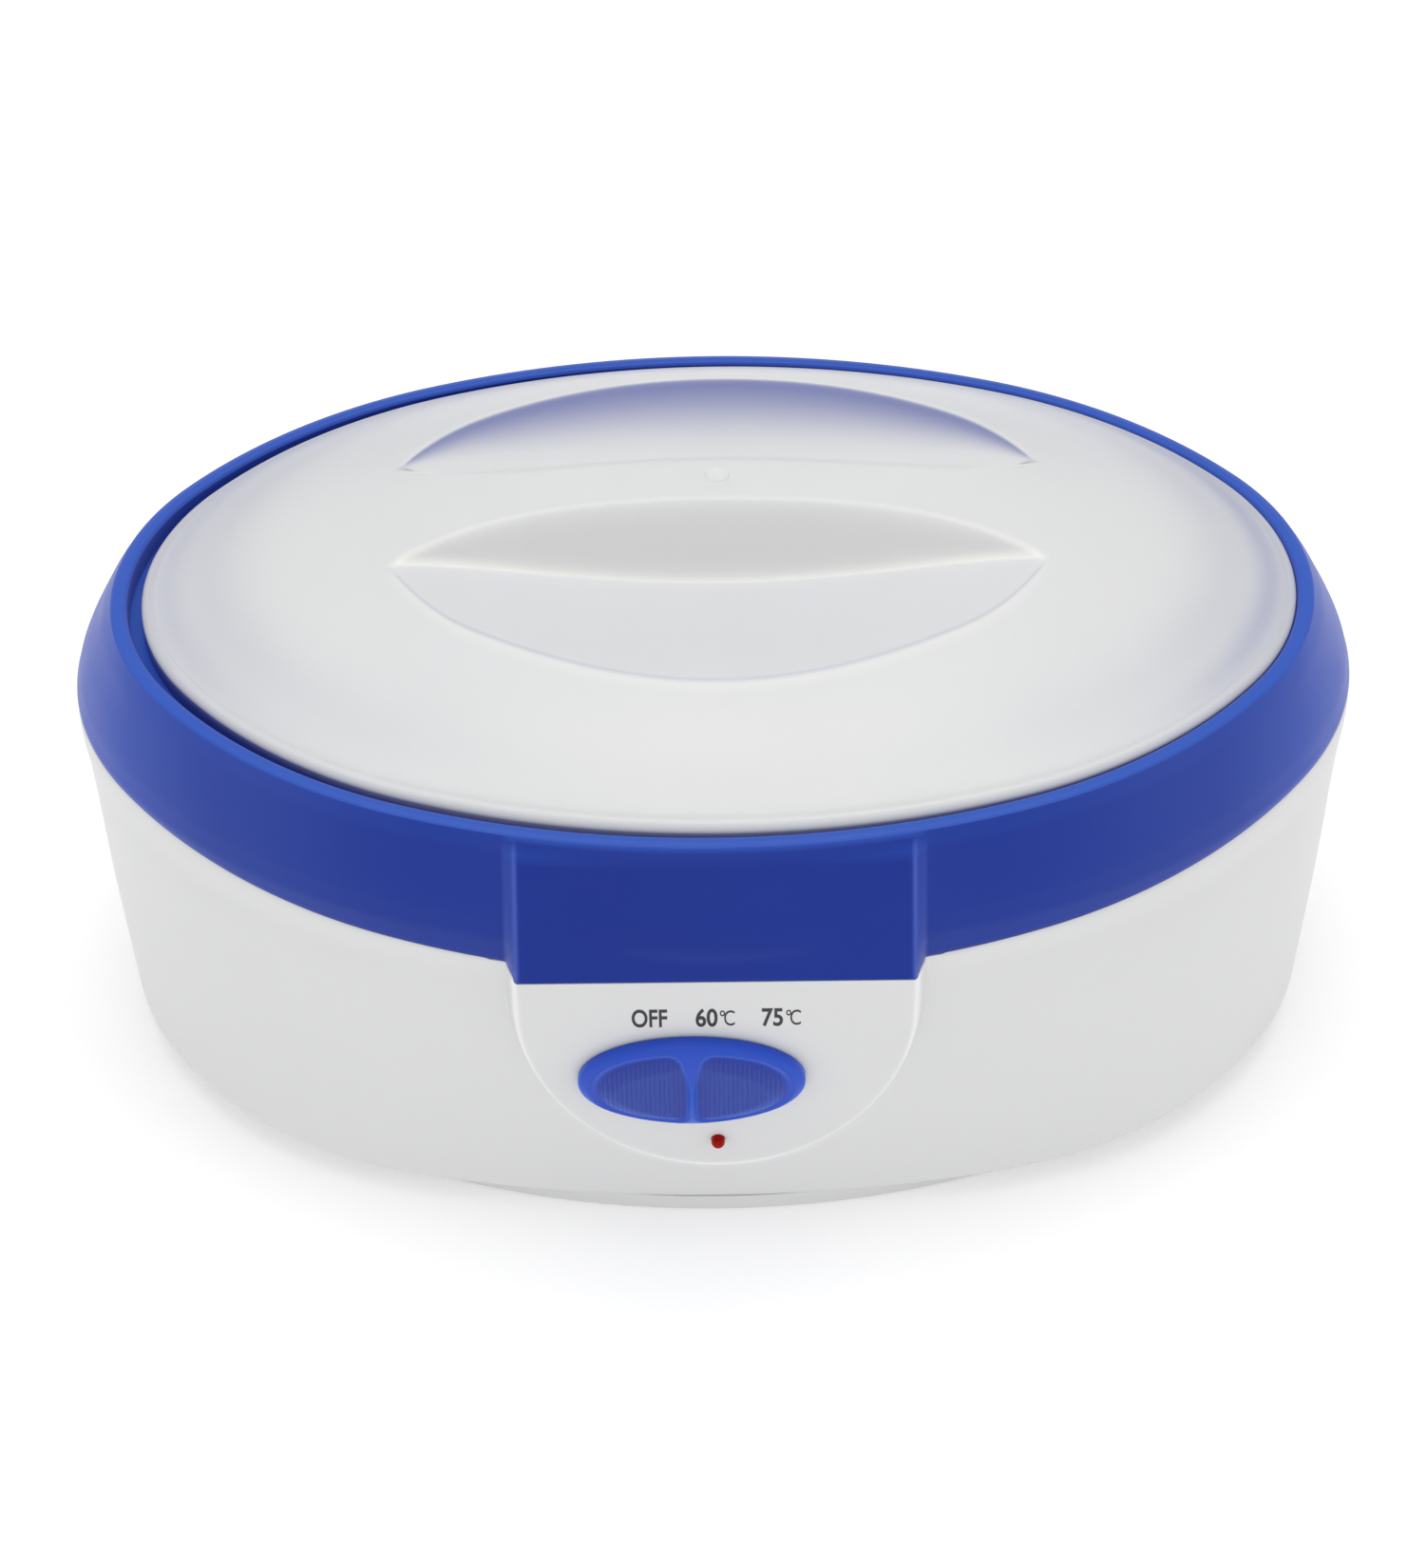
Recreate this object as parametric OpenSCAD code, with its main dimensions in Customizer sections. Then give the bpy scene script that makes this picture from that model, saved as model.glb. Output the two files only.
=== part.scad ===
// Oval table-top wax warmer: lift-off lid, ring, shell, heated inner pot and a
// three-position slide control.  The origin is on the table at the middle of
// the footprint, +Z is up, +X is to the right and the control faces -Y.

/* [Body] */
// Overall width across the ends, mm
body_w = 370; // [366:1:374]
// Overall depth from front to back, mm
body_d = 262.4; // [260:0.2:265]
// Height of the seam between ring and shell at the two ends, mm
seam_z = 109; // [107:0.5:110]
// How much lower that seam runs at the front and the back, mm
seam_dip = 8.6; // [7:0.1:9.5]
// Height of the top edge of the ring, mm
lip_z = 135.2; // [134.8:0.1:137]
// Wall thickness of the plastic mouldings, mm
wall = 2.6; // [2.4:0.1:2.8]

/* [Lid] */
// Rise of the domed lid above its own edge, mm
lid_rise = 37; // [33:0.5:39]
// Thickness of the lid, mm
lid_t = 2.2; // [1.8:0.1:2.6]
// Sideways play taken up by the loose lid, mm
lid_shift = 1.9; // [0:0.1:1.9]
// Half width of the finger bridge at its narrowest, mm
bridge_half = 11.2; // [9:0.1:13]

/* [Pot] */
// Height of the inside floor of the pot, mm
pot_floor_z = 48; // [47.8:0.1:56]
// Thickness of the drawn aluminium, mm
pot_t = 1.5; // [1.2:0.1:1.6]

/* [Control] */
// Width of the oval slide knob, mm
knob_w = 62.5; // [58:0.5:64]
// Height of the oval slide knob, mm
knob_h = 35; // [31:0.5:36]
// Step between two switch positions, mm
knob_step = 7; // [5:0.5:7]
// Diameter of the pilot lamp lens, mm
lamp_d = 4.6; // [4:0.1:5]
// Diameter of the mains cord, mm
cord_d = 6.6; // [6:0.1:7]

/* [Hidden] */
$fn = 64;
oval_fn = 144;

// Colours shared by several pieces
steel = [0.75, 0.76, 0.78];
clip_steel = [0.72, 0.73, 0.75];
contact_brass = [0.8, 0.62, 0.3];
screw_brass = [0.8, 0.75, 0.5];
cord_black = [0.1, 0.1, 0.11];
dark_grey = [0.12, 0.12, 0.13];
soft_grey = [0.15, 0.15, 0.16];
lead_white = [0.85, 0.85, 0.82];

// ---- Ovals ----
// An oval is eight arcs close to an ellipse.  The arcs meet where the outward
// normal has these directions.  Both have short decimals so that neighbouring
// arcs share their end planes exactly.
end_dir = [0.8, 0.6];
side_dir = [0.352, 0.936];

function near(value, step) = round(value / step) * step;

// [centre x, centre y, radius] of the end, shoulder and side arc of a quadrant.
function oval_arcs(half_w, half_d) = let(
    first_r = 1.052 * half_d * half_d / half_w,
    spare_w = half_w - first_r,
    spare_d = half_d - first_r,
    end_gap = 1 - end_dir[1],
    side_gap = 1 - side_dir[1],
    det = end_dir[0] * side_gap - side_dir[0] * end_gap,
    // growth in radius from end to shoulder, and from shoulder to side
    grow1 = near((spare_w * side_gap - side_dir[0] * spare_d) / det, 0.05),
    grow2 = near((end_dir[0] * spare_d - end_gap * spare_w) / det, 0.125),
    end_x = end_dir[0] * grow1 + side_dir[0] * grow2,
    end_r = half_w - end_x)
  [[end_x, 0, end_r],
   [end_x - grow1 * end_dir[0], -grow1 * end_dir[1], end_r + grow1],
   [0, -grow1 * end_dir[1] - grow2 * side_dir[1], end_r + grow1 + grow2]];

// Point on an oval set in by inset, where the outward normal points at angle.
function oval_pt(oval, inset, angle) = let(
    rise = abs(sin(angle)),
    part = rise < end_dir[1] ? oval[0] : rise < side_dir[1] ? oval[1] : oval[2],
    r = part[2] - inset)
  [sign(cos(angle)) * (part[0] + r * abs(cos(angle))),
   sign(sin(angle)) * (part[1] + r * rise)];

// An outline of [inset, height] points as a section to revolve at radius r.
function section(r, outline) = [for (p = outline) [r - near(p[0], 0.001), near(p[1], 0.001)]];

// One arc of a ring: the revolve about centre, kept between two directions.
module arc(centre, r, from, to, outline) translate([centre[0], centre[1], 0]) intersection() {
  rotate_extrude($fn = oval_fn) polygon(section(r, outline));
  translate([0, 0, -50]) linear_extrude(400)
    polygon([[0, 0], from * 500, (from + to) * 500, to * 500]);
}

// Closed ring whose outline is given as [inset from the oval, height].
module ring(oval, outline) for (s = [1, -1]) {
  arc([s * oval[0][0], 0], oval[0][2],
      s * [end_dir[0], -end_dir[1]], s * end_dir, outline);
  arc([0, s * oval[2][1]], oval[2][2],
      s * side_dir, s * [-side_dir[0], side_dir[1]], outline);
  for (v = [1, -1]) {
    near_end = [s * end_dir[0], v * end_dir[1]];
    near_side = [s * side_dir[0], v * side_dir[1]];
    arc([s * oval[1][0], v * oval[1][1]], oval[1][2],
        s * v > 0 ? near_end : near_side, s * v > 0 ? near_side : near_end, outline);
  }
}

// Ring of rectangular section between two insets.
module band(oval, inset0, inset1, z0, z1)
  ring(oval, [[inset0, z0], [inset1, z0], [inset1, z1], [inset0, z1]]);

// Many-sided plate that fills the middle of a band.
module core(oval, inset, z0, z1) translate([0, 0, z0]) linear_extrude(z1 - z0)
  polygon([for (i = [0:35]) oval_pt(oval, inset, i * 10 + 5)]);

// Filled plate: a band closed by a core that ends inside the band.
module plate(oval, inset, z0, z1, rim = 16) {
  band(oval, inset, inset + rim, z0, z1);
  core(oval, inset + rim / 2, z0, z1);
}

// Dome over an oval footprint: an arc along X turned about an axis along X.
// It is drop lower than the full dome all round; the full dome peaks at top.
module dome(half_x, half_y, rise, top, drop = 0) {
  long_r = (half_x * half_x + rise * rise) / (2 * rise);
  short_r = (half_y * half_y + rise * rise) / (2 * rise);
  translate([0, 0, top - short_r]) along_x() rotate_extrude($fn = 256) intersection() {
    translate([short_r - long_r, 0]) circle(r = long_r - drop, $fn = 256);
    translate([0, -half_x - 15]) square([short_r + 5, 2 * half_x + 30]);
  }
}

// ---- Simple shapes ----
module along_x() rotate([0, 90, 0]) children();
module along_y() rotate([-90, 0, 0]) children();
module rod(d, z0, z1) translate([0, 0, z0]) cylinder(d = d, h = z1 - z0);
module tube(d, bore, z0, z1) difference() {
  rod(d, z0, z1);
  rod(bore, z0 - 1, z1 + 1);
}
module block(x0, x1, y0, y1, z0, z1)
  translate([x0, y0, z0]) cube([x1 - x0, y1 - y0, z1 - z0]);
// A block and its mirror image across X = 0.
module block_pair(x0, x1, y0, y1, z0, z1) {
  block(x0, x1, y0, y1, z0, z1);
  block(-x1, -x0, y0, y1, z0, z1);
}

// Cross-slotted screw: head below Z = 0, shank above.
module screw(shank_d, length, head_d, head_h) {
  difference() {
    translate([0, 0, -head_h]) cylinder(d = head_d, h = head_h);
    for (a = [0, 90]) rotate([0, 0, a])
      block(-head_d * 0.3, head_d * 0.3, -0.5, 0.5, -head_h - 1, -head_h * 0.45);
  }
  translate([0, 0, -0.01]) cylinder(d = shank_d, h = length);
}
// The same screw driven from above.
module screw_down(shank_d, length, head_d, head_h)
  mirror([0, 0, 1]) screw(shank_d, length, head_d, head_h);

function unit(v) = v / norm(v);
module frame(x, y, origin)
  multmatrix([for (i = [0:2]) [x[i], y[i], cross(x, y)[i], origin[i]]]) children();
// Round wire through the points of path, with a rounded joint at each corner.
module wire(path, d = 2.2) {
  for (i = [0:len(path) - 2]) {
    run = unit(path[i + 1] - path[i]);
    side = unit(cross(run, abs(run[2]) > 0.8 ? [1, 0, 0] : [0, 0, 1]));
    frame(side, cross(run, side), path[i])
      cylinder(d = d, h = norm(path[i + 1] - path[i]), $fn = 24);
  }
  for (i = [1:len(path) - 2]) translate(path[i]) sphere(d = d * 1.08, $fn = 24);
}
// Bend of the mains cord, in the XY plane about the origin.
module elbow(r, from, angle) rotate_extrude(angle = angle, start = from, $fn = 64)
  translate([r, 0]) circle(d = cord_d, $fn = 32);

// ---- Heights, insets and places of the body ----
body_oval = oval_arcs(body_w / 2, body_d / 2);
base_oval = oval_arcs(body_w / 2 - 20, body_d / 2 - 13);
seam_r = (pow(body_d / 2, 2) + seam_dip * seam_dip) / (2 * seam_dip);
function ring_z(fraction) = seam_z + (lip_z - seam_z) * fraction;
crease = 13.2;                 // inset of the outer crease of the lip
mouth = 17.1;                  // inset of the opening of the ring
shelf_z = lip_z - 9.2;         // top of the shelf the pot hangs on
flange_z = shelf_z + 1;        // underside of the pot's flange
lid_inset = mouth + 2.2;       // inset of the lid's edge
lid_z = flange_z + pot_t + 0.2; // underside of the lid's edge
lid_top = lip_z + 0.2 + lid_rise;
pot_inset = 29;                // inset of the pot's outer wall
pot_bottom_z = pot_floor_z - pot_t;

// Children at a place on an oval, with local X pointing outwards.
module at_oval(inset, angle, z = 0)
  translate([each oval_pt(body_oval, inset, angle), z]) rotate([0, 0, angle]) children();
// Columns take the base screws, lugs the ring screws, studs the pot.
module at_columns(z = 0) for (t = [40, 140, 200, 248, 292, 340]) at_oval(30, t, z) children();
module at_lugs(z = 0) for (t = [20, 62, 118, 160, 212, 328]) at_oval(11.4, t, z) children();
module at_studs() for (t = [0, 45, 135, 180, 225, 315]) at_oval(23.2, t) children();

// Places on the base, as [x, y]; corners repeat both ways, pairs left and right
shield_post = [84, 44];
foot_place = [108, 62];
clamp_post = [12, 92];
block_post = [14, 62];
earth_post = [36, 62];
module at_corners(place, z = 0) for (x = [-1, 1], y = [-1, 1])
  translate([x * place[0], y * place[1], z]) children();
module at_pair(place, z = 0) for (x = [-1, 1])
  translate([x * place[0], place[1], z]) children();

// Outlines as [inset, height]
ring_out = [
  [0, seam_z], [0.8, ring_z(0.12)], [2, ring_z(0.25)], [4, ring_z(0.42)],
  [6.4, ring_z(0.61)], [9, ring_z(0.8)], [11.6, ring_z(0.95)]];
lip_outline = [
  [crease, lip_z - 0.2], [crease + 0.7, lip_z + 0.3], [15.2, lip_z + 0.5],
  [16.3, lip_z + 0.3], [mouth, lip_z - 0.6], [mouth + 0.1, shelf_z],
  [27, shelf_z], [27, shelf_z - 2.4], [16.2, shelf_z - 2.4],
  [15.8, lip_z - 6], [14.4, lip_z - 4]];
skirt_outline = [
  [wall + 1.8, seam_z - 13], [wall + 3.5, seam_z - 13], [wall + 2.7, ring_z(0.1)],
  [wall + 4, ring_z(0.3)], [wall + 1.6, ring_z(0.3)], [wall + 0.3, ring_z(0.1)]];
tab_hollow = [
  [wall + 0.3, 90], [wall + 0.3, seam_z - 2], [wall + 1, seam_z + 2],
  [wall + 6, ring_z(0.6)], [wall + 12, ring_z(0.97)], [60, ring_z(0.97)], [60, 90]];
shell_out = [
  [0, seam_z + 3], [0, seam_z - 1], [2.6, 85], [5.2, 55], [7, 35], [8.7, 22],
  [9.8, 14], [10.6, 9.5], [12, 6.6], [14, 5.2]];
shell_in = concat(
  [[26, 5.2], [26, 7.8], [17, 7.8], [14.6, 9.2], [9.8 + wall, 13.6]],
  [for (i = [5:-1:0]) shell_out[i] + [wall, 0]]);

// ---- Control panel ----
// A flat face that leans out towards the top.  Local X is along the body, Y up
// the face and Z out of it; the top edge is at Y = 0.
panel_y = -body_d / 2 - 1.8;
panel_z = 100.1;
lean = 7.41;
panel_w = 108.4;
knob_x = -knob_step;           // the knob stands in its left position
knob_y = -41.2;
lamp_y = -66.9;
switch_post_x = 29;
slot_half = knob_step * 2 + 0.5;
module on_panel(x = 0, y = 0, z = 0) translate([0, panel_y, panel_z])
  rotate([90 + lean, 0, 0]) translate([x, y, z]) children();
module at_switch_posts(z)
  for (s = [-1, 1]) on_panel(s * switch_post_x, knob_y, z) children();
// Outline of the panel: straight top edge and a half-elliptic lower edge.
module apron(inset = 0) {
  half_w = panel_w / 2 - inset;
  drop = 65.5 - inset;
  polygon(concat([[half_w, -0.2 - inset], [-half_w, -0.2 - inset]],
    [for (i = [0:32]) [-half_w * cos(i * 180 / 32), -13 - drop * sin(i * 180 / 32)]]));
}

// Everything below the arched seam, with its radius changed by offset.
module under_seam(offset) translate([0, 0, seam_z - seam_r]) along_x()
  cylinder(r = seam_r + offset, h = 420, center = true, $fn = 256);
// The hollow behind the front wall, where the ring or the shell is trimmed.
module front_hollow(outline) translate([0, -body_oval[2][1], 0])
  rotate_extrude(start = 252, angle = 36, $fn = oval_fn)
    polygon(section(body_oval[2][2], outline));

// ---- Lid, ring and shell ----
module lid() color([0.87, 0.88, 0.89, 0.9]) translate([lid_shift, 0, 0]) {
  half_x = body_w / 2 - lid_inset;
  half_y = body_d / 2 - lid_inset;
  difference() {
    intersection() {
      plate(body_oval, lid_inset, lid_z, lid_top + 2, 40);
      dome(half_x, half_y, lid_rise, lid_top);
    }
    // inside, left solid under the scoops
    intersection() {
      plate(body_oval, lid_inset + lid_t, lid_z - 1, lid_top + 2, 38);
      dome(half_x, half_y, lid_rise, lid_top, lid_t);
      difference() {
        block(-200, 200, -150, 150, lid_z - 2, lid_top);
        scoops(lid_t);
      }
    }
    scoops(0);
  }
  // moulded gate mark in the middle of the bridge
  translate([0, 0, lid_top - 0.5]) cylinder(d = 6, h = 1.1);
}
// Finger scoops at front and back, grown by t: a dished floor that falls
// towards a steep curved wall.
module scoops(t) for (turn = [0, 180]) rotate([0, 0, turn]) {
  wall_r = 380;
  floor_r = 430;
  intersection() {
    translate([0, -bridge_half - wall_r, lid_top - 60])
      cylinder(r1 = wall_r + t - 25.5, r2 = wall_r + t + 8.5, h = 80, $fn = 256);
    translate([0, -bridge_half - 3, lid_top - 21 - t]) rotate([-6, 0, 0])
      translate([0, 0, floor_r + t]) rotate([90, 0, 0])
        cylinder(r = floor_r + t, h = 300, center = true, $fn = 256);
    block(-120, 120, -100, 0, lid_top - 40, lid_top + 10);
  }
}

module upper_ring() color([0.16, 0.24, 0.62]) difference() {
  union() {
    difference() {
      ring(body_oval, concat([[0, seam_z - 14]], ring_out, lip_outline,
        [for (i = [6:-1:0]) ring_out[i] + [wall + 0.1, -0.6]], [[wall + 0.1, seam_z - 14]]));
      under_seam(0.1);
    }
    // skirt that laps inside the shell
    ring(body_oval, skirt_outline);
    // screw posts behind the outer wall
    intersection() {
      at_lugs() rod(8, 87.2, lip_z - 2);
      ring(body_oval, concat([[wall + 0.3, 80]],
        [for (p = ring_out) p + [wall - 0.4, -0.6]], [[16, lip_z - 3], [16, 80]]));
    }
    front_tab();
  }
  at_lugs() rod(2.8, 80, 103);
  at_studs() rod(3.6, shelf_z - 5, shelf_z + 5);
}
// Tab that joins the front of the ring to the top of the panel.
module front_tab() difference() {
  hull() {
    translate([0, 0, panel_z]) linear_extrude(0.4)
      polygon([[-54.2, panel_y], [54.2, panel_y],
        [57, -125.3], [57, -119], [-57, -119], [-57, -125.3]]);
    translate([0, 0, ring_z(0.93)]) linear_extrude(0.3)
      polygon(concat([for (i = [-6:6]) oval_pt(body_oval, 11.9, 270 + i * 2.15)],
        [[52, -106], [-52, -106]]));
  }
  front_hollow(tab_hollow);
}

module outer_shell() color([0.93, 0.94, 0.94]) difference() {
  union() {
    difference() {
      union() {
        intersection() {
          ring(body_oval, concat(shell_out, shell_in));
          under_seam(-0.1);
        }
        on_panel(0, 0, -14) linear_extrude(14) apron();
      }
      front_hollow(concat([for (i = [2:10]) shell_in[i] + [0.001, 0.01]],
        [[70, seam_z + 3], [70, 7.81]]));
      on_panel(0, 0, -30) linear_extrude(30 - wall) apron(wall);
      // room for the ring's front tab
      block(-57.4, 57.4, -150, -118, panel_z - 0.2, seam_z + 10);
    }
    // columns for the base screws, ribbed to the wall
    at_columns() {
      rod(9, 5.2, 27);
      block(2, 18, -1.2, 1.2, 9.4, 24);
    }
    // lugs for the ring screws
    at_lugs() {
      rod(9, 82, 86.8);
      block(0, 8, -4.5, 4.5, 82, 86.8);
    }
    // posts behind the panel for the switch
    at_switch_posts(-9) cylinder(d = 6.4, h = 9 - wall + 0.4);
  }
  at_columns() rod(3, 4, 24);
  at_lugs() rod(3.6, 80, 90);
  // slot for the carriage, hole for the lamp
  on_panel(0, knob_y) block(-slot_half, slot_half, -4, 4, -8, 12);
  on_panel(0, lamp_y) rod(lamp_d + 0.2, -10, 10);
  at_switch_posts(-10) cylinder(d = 2.4, h = 8.4);
  // hole for the cord grommet
  on_cord_axis() rod(12.2, 100, 140);
}

// ---- Base ----
module base_cover() color([0.9, 0.91, 0.91]) difference() {
  union() {
    plate(base_oval, 0, 2.6, 5, 30);
    band(base_oval, 0, 2.4, 0.3, 2.7);
    band(base_oval, 14, 16, 4, 9.2);
    at_corners(shield_post) rod(8, 4, 33);
    at_pair(clamp_post) rod(7, 4, 18.4);
    at_pair(block_post) rod(6.5, 4, 9);
    translate(earth_post) rod(8, 4, 14);
  }
  at_columns() {
    rod(3.6, 0, 10);
    rod(9.6, 4.8, 12);
  }
  at_corners(foot_place) rod(5.4, 0, 12);
  at_corners(shield_post) rod(2.6, 14, 40);
  at_pair(clamp_post) rod(2.4, 8, 20);
  at_pair(block_post) rod(2.4, 5.2, 10);
  translate(earth_post) rod(2.4, 6, 20);
  // air slots
  for (i = [-4:4]) block(i * 11 - 2, i * 11 + 2, -42, 34, 0, 8);
}
module rubber_feet() color(dark_grey) at_corners(foot_place) {
  rod(16, 0, 2.5);
  rod(5, 2.4, 5.2);
  rod(7, 5.15, 6.8);
}
module base_screws() color(steel) at_columns(2.55) screw(2.8, 18, 7, 1.9);
module ring_screws() color(steel) at_lugs(81.9) screw(2.6, 18, 6, 2);

// ---- Pot ----
foot_r = 14;                   // outer radius drawn at the foot of the wall
// Point of the foot's quarter arc of radius r, in steps of 18 degrees.
function foot_pt(r, i) =
  [pot_inset + 1.4 + foot_r - r * cos(i * 18), pot_bottom_z + foot_r - r * sin(i * 18)];
// Outline of flange, rolled shoulder, wall and foot, as [inset, height]
pot_outline = concat(
  [[mouth + 1.6, flange_z + pot_t], [mouth + 1.6, flange_z], [pot_inset - 3, flange_z],
   [pot_inset - 1, flange_z - 0.6], [pot_inset, flange_z - 2.4]],
  [for (i = [0:5]) foot_pt(foot_r, i)],
  [[pot_inset + 24, pot_bottom_z], [pot_inset + 24, pot_bottom_z + pot_t]],
  [for (i = [5:-1:0]) foot_pt(foot_r - pot_t, i)],
  [[pot_inset + pot_t, flange_z - 1.6], [pot_inset + 0.4, flange_z + 0.9],
   [pot_inset - 2, flange_z + pot_t]]);

// Thermostats at -X and +X, each between two bosses; the fuse lies along X
thermostat_x = 30;
thermostat_y = -18;
boss_reach = 13;               // from the middle of a thermostat to its bosses
fuse_y = 24;
fuse_drop = 3.2;               // fuse axis below the pot
fuse_boss = [22, fuse_y + 8];
pot_bosses = concat(
  [for (x = [-1, 1], s = [-1, 1]) [x * thermostat_x + s * boss_reach, thermostat_y]],
  [fuse_boss]);

module inner_pot() color([0.78, 0.79, 0.8]) {
  ring(body_oval, pot_outline);
  core(body_oval, pot_inset + 20, pot_bottom_z, pot_bottom_z + pot_t);
  // studs of the flange and bosses of the underside
  at_studs() rod(3, flange_z - 9.6, flange_z + 0.2);
  for (place = pot_bosses) translate(place)
    tube(7, 2.9, pot_bottom_z - 3.3, pot_bottom_z + 0.1);
}
module pot_nuts() color(steel) at_studs() difference() {
  translate([0, 0, shelf_z - 4.9]) cylinder(d = 6.3, h = 2.4, $fn = 6);
  rod(3.1, shelf_z - 8, shelf_z);
}
module pot_gasket() color([0.75, 0.3, 0.2]) difference() {
  band(body_oval, 19, 25.8, shelf_z + 0.05, flange_z - 0.05);
  at_studs() rod(3.6, shelf_z - 5, shelf_z + 5);
}

// ---- Heater round the pot ----
heater_z0 = pot_floor_z + 18;
heater_z1 = heater_z0 + 40;
strap_h = 6;
strap_zs = [heater_z0 + 6, heater_z1 - 12]; // lower edges of the straps
// Gap at the back where the wrapped layers meet.
module back_gap(width, z0, z1) block(-width / 2, width / 2, 90, 140, z0, z1);

module heater_band() color([0.55, 0.42, 0.25]) difference() {
  band(body_oval, pot_inset - 1.5, pot_inset - 0.2, heater_z0, heater_z1);
  back_gap(14, heater_z0 - 1, heater_z1 + 1);
}
module heater_straps() color([0.7, 0.71, 0.73]) for (z = strap_zs) {
  difference() {
    band(body_oval, pot_inset - 2.2, pot_inset - 1.7, z, z + strap_h);
    back_gap(6, z - 1, z + strap_h + 1);
  }
  // turned-out ears
  block_pair(3.01, 3.81, 103.6, 109.6, z, z + strap_h);
}
module strap_screws() color(steel) for (z = strap_zs)
  translate([4.1, 107.5, z + strap_h / 2]) along_x() cylinder(d = 5, h = 2);
module insulation() color([0.9, 0.88, 0.8]) difference() {
  band(body_oval, pot_inset - 8.5, pot_inset - 2.5, heater_z0 - 4, heater_z1 + 6);
  back_gap(20, heater_z0 - 10, heater_z1 + 10);
}
module heat_shield() color([0.8, 0.81, 0.82]) difference() {
  union() {
    plate(body_oval, 44, 33.2, 34, 30);
    band(body_oval, 44, 44.8, 33.5, 37);
  }
  at_corners(shield_post) rod(3.6, 30, 40);
  // holes for the wires
  translate([0, 66, 0]) rod(22, 30, 40);
  translate([0, -60, 0]) rod(28, 30, 40);
}
module shield_screws() color(steel) at_corners(shield_post, 34.05) screw_down(2.4, 12, 6, 1.8);

// ---- Thermostats and fuse under the pot ----
// Bimetal thermostat hung under the pot between two bosses.
module thermostat(x) translate([x, thermostat_y, pot_bottom_z]) {
  rod(16, -3.1, -0.1);
  rod(14.6, -8.4, -3);
  block_pair(5, 5.8, -12, 12, -9.4, -8.3);
}
module thermostat_60() color([0.85, 0.82, 0.75]) thermostat(-thermostat_x);
module thermostat_75() color([0.75, 0.72, 0.66]) thermostat(thermostat_x);
module thermostat_clips() color(clip_steel) for (x = [-thermostat_x, thermostat_x])
  translate([x, thermostat_y, pot_bottom_z]) difference() {
    union() {
      block(-17, 17, -5, 5, -4.2, -3.4);
      tube(18, 15, -4.2, -3.4);
    }
    rod(15, -6, 0);
    for (s = [-1, 1]) translate([s * boss_reach, 0, 0]) rod(3.4, -6, 0);
  }
module pot_screws() color(steel) for (place = pot_bosses)
  translate([each place, pot_bottom_z - 4.3]) screw(2.7, 3.4, 5.4, 1.6);

module on_fuse_axis() translate([0, fuse_y, pot_bottom_z - fuse_drop]) along_x() children();
module thermal_fuse() color([0.85, 0.85, 0.8]) on_fuse_axis() {
  rod(4, -6, 6);
  rod(1, -30, 30);
}
module fuse_sleeve() color([0.95, 0.93, 0.85]) on_fuse_axis() tube(5.6, 4.3, -20, 20);
module fuse_clip() color(clip_steel) translate([0, fuse_y, pot_bottom_z]) difference() {
  union() {
    block(8, 26, -4, 12, -4.2, -3.4);
    translate([8, 0, -fuse_drop]) along_x() cylinder(d = 7.4, h = 5);
  }
  translate([0, 0, -fuse_drop]) along_x() cylinder(d = 5.8, h = 30);
  block(0, 30, -6, 6, -0.9, 3);
  translate([fuse_boss[0], fuse_boss[1] - fuse_y, 0]) rod(3.4, -6, 0);
  block(13, 18.5, -2.9, 2.9, -6.5, -0.5);
}

// ---- Slide control ----
knob_oval = oval_arcs(knob_w / 2, knob_h / 2);
knob_rise = 4;
knob_top = 6.4;                // height of the knob above the panel face
rib_pitch = 1.45;
switch_tag_xs = [-12, -4, 4, 12];

module knob_dome(drop = 0) dome(knob_w / 2, knob_h / 2, knob_rise, knob_top, drop);
// Everything over the knob's dome lowered by drop.
module over_dome(drop) difference() {
  block(-40, 40, -30, 30, 0, 12);
  knob_dome(drop);
}
// Outline of the left (-1) or right (+1) thumb pad.
module pad_outline(side, grow = 0) intersection() {
  translate([side * 2, 0]) scale([1, 0.58]) circle(r = 24.6 + grow, $fn = 96);
  translate([side * (3 + 60 - grow), 0]) circle(r = 60, $fn = 128);
  translate([side * 13.6, 0]) circle(r = 13.4 + grow, $fn = 96);
}
module switch_knob() color([0.17, 0.3, 0.72]) on_panel(knob_x, knob_y) difference() {
  union() {
    difference() {
      intersection() {
        plate(knob_oval, 0, 0.4, 12, 8);
        knob_dome();
      }
      intersection() {
        plate(knob_oval, 1.8, 0, 12, 8);
        knob_dome(2.4);
      }
      // thumb pads sunk into the dome
      for (s = [-1, 1]) intersection() {
        linear_extrude(20) pad_outline(s);
        over_dome(1);
      }
    }
    // grip ribs standing in the pads
    for (s = [-1, 1], i = [0:14]) intersection() {
      translate([0, 0, 1]) linear_extrude(12) intersection() {
        pad_outline(s, 0.1);
        translate([s * (4.2 + i * rib_pitch) - 0.3, -14]) square([0.6, 28]);
      }
      knob_dome(0.45);
      over_dome(1.4);
    }
    // socket for the carriage
    block(-5, 5, -3.4, 3.4, 0.4, knob_top - 2);
  }
  block(-3.1, 3.1, -2.1, 2.1, -1, 3.2);
}
module switch_carriage() color(soft_grey) on_panel(knob_x, knob_y) {
  block(-3, 3, -2, 2, -6.5, 3);
  block(-7, 7, -4.6, 4.6, -9.2, -6.4);
}
module switch_contact() color(contact_brass) on_panel(knob_x, knob_y) {
  block(-6, 6, -1.5, 1.5, -9.8, -9.21);
  for (s = [-1, 1]) translate([s * 4.4, 0, -10.4]) cylinder(d = 2.2, h = 0.7);
}
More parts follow.
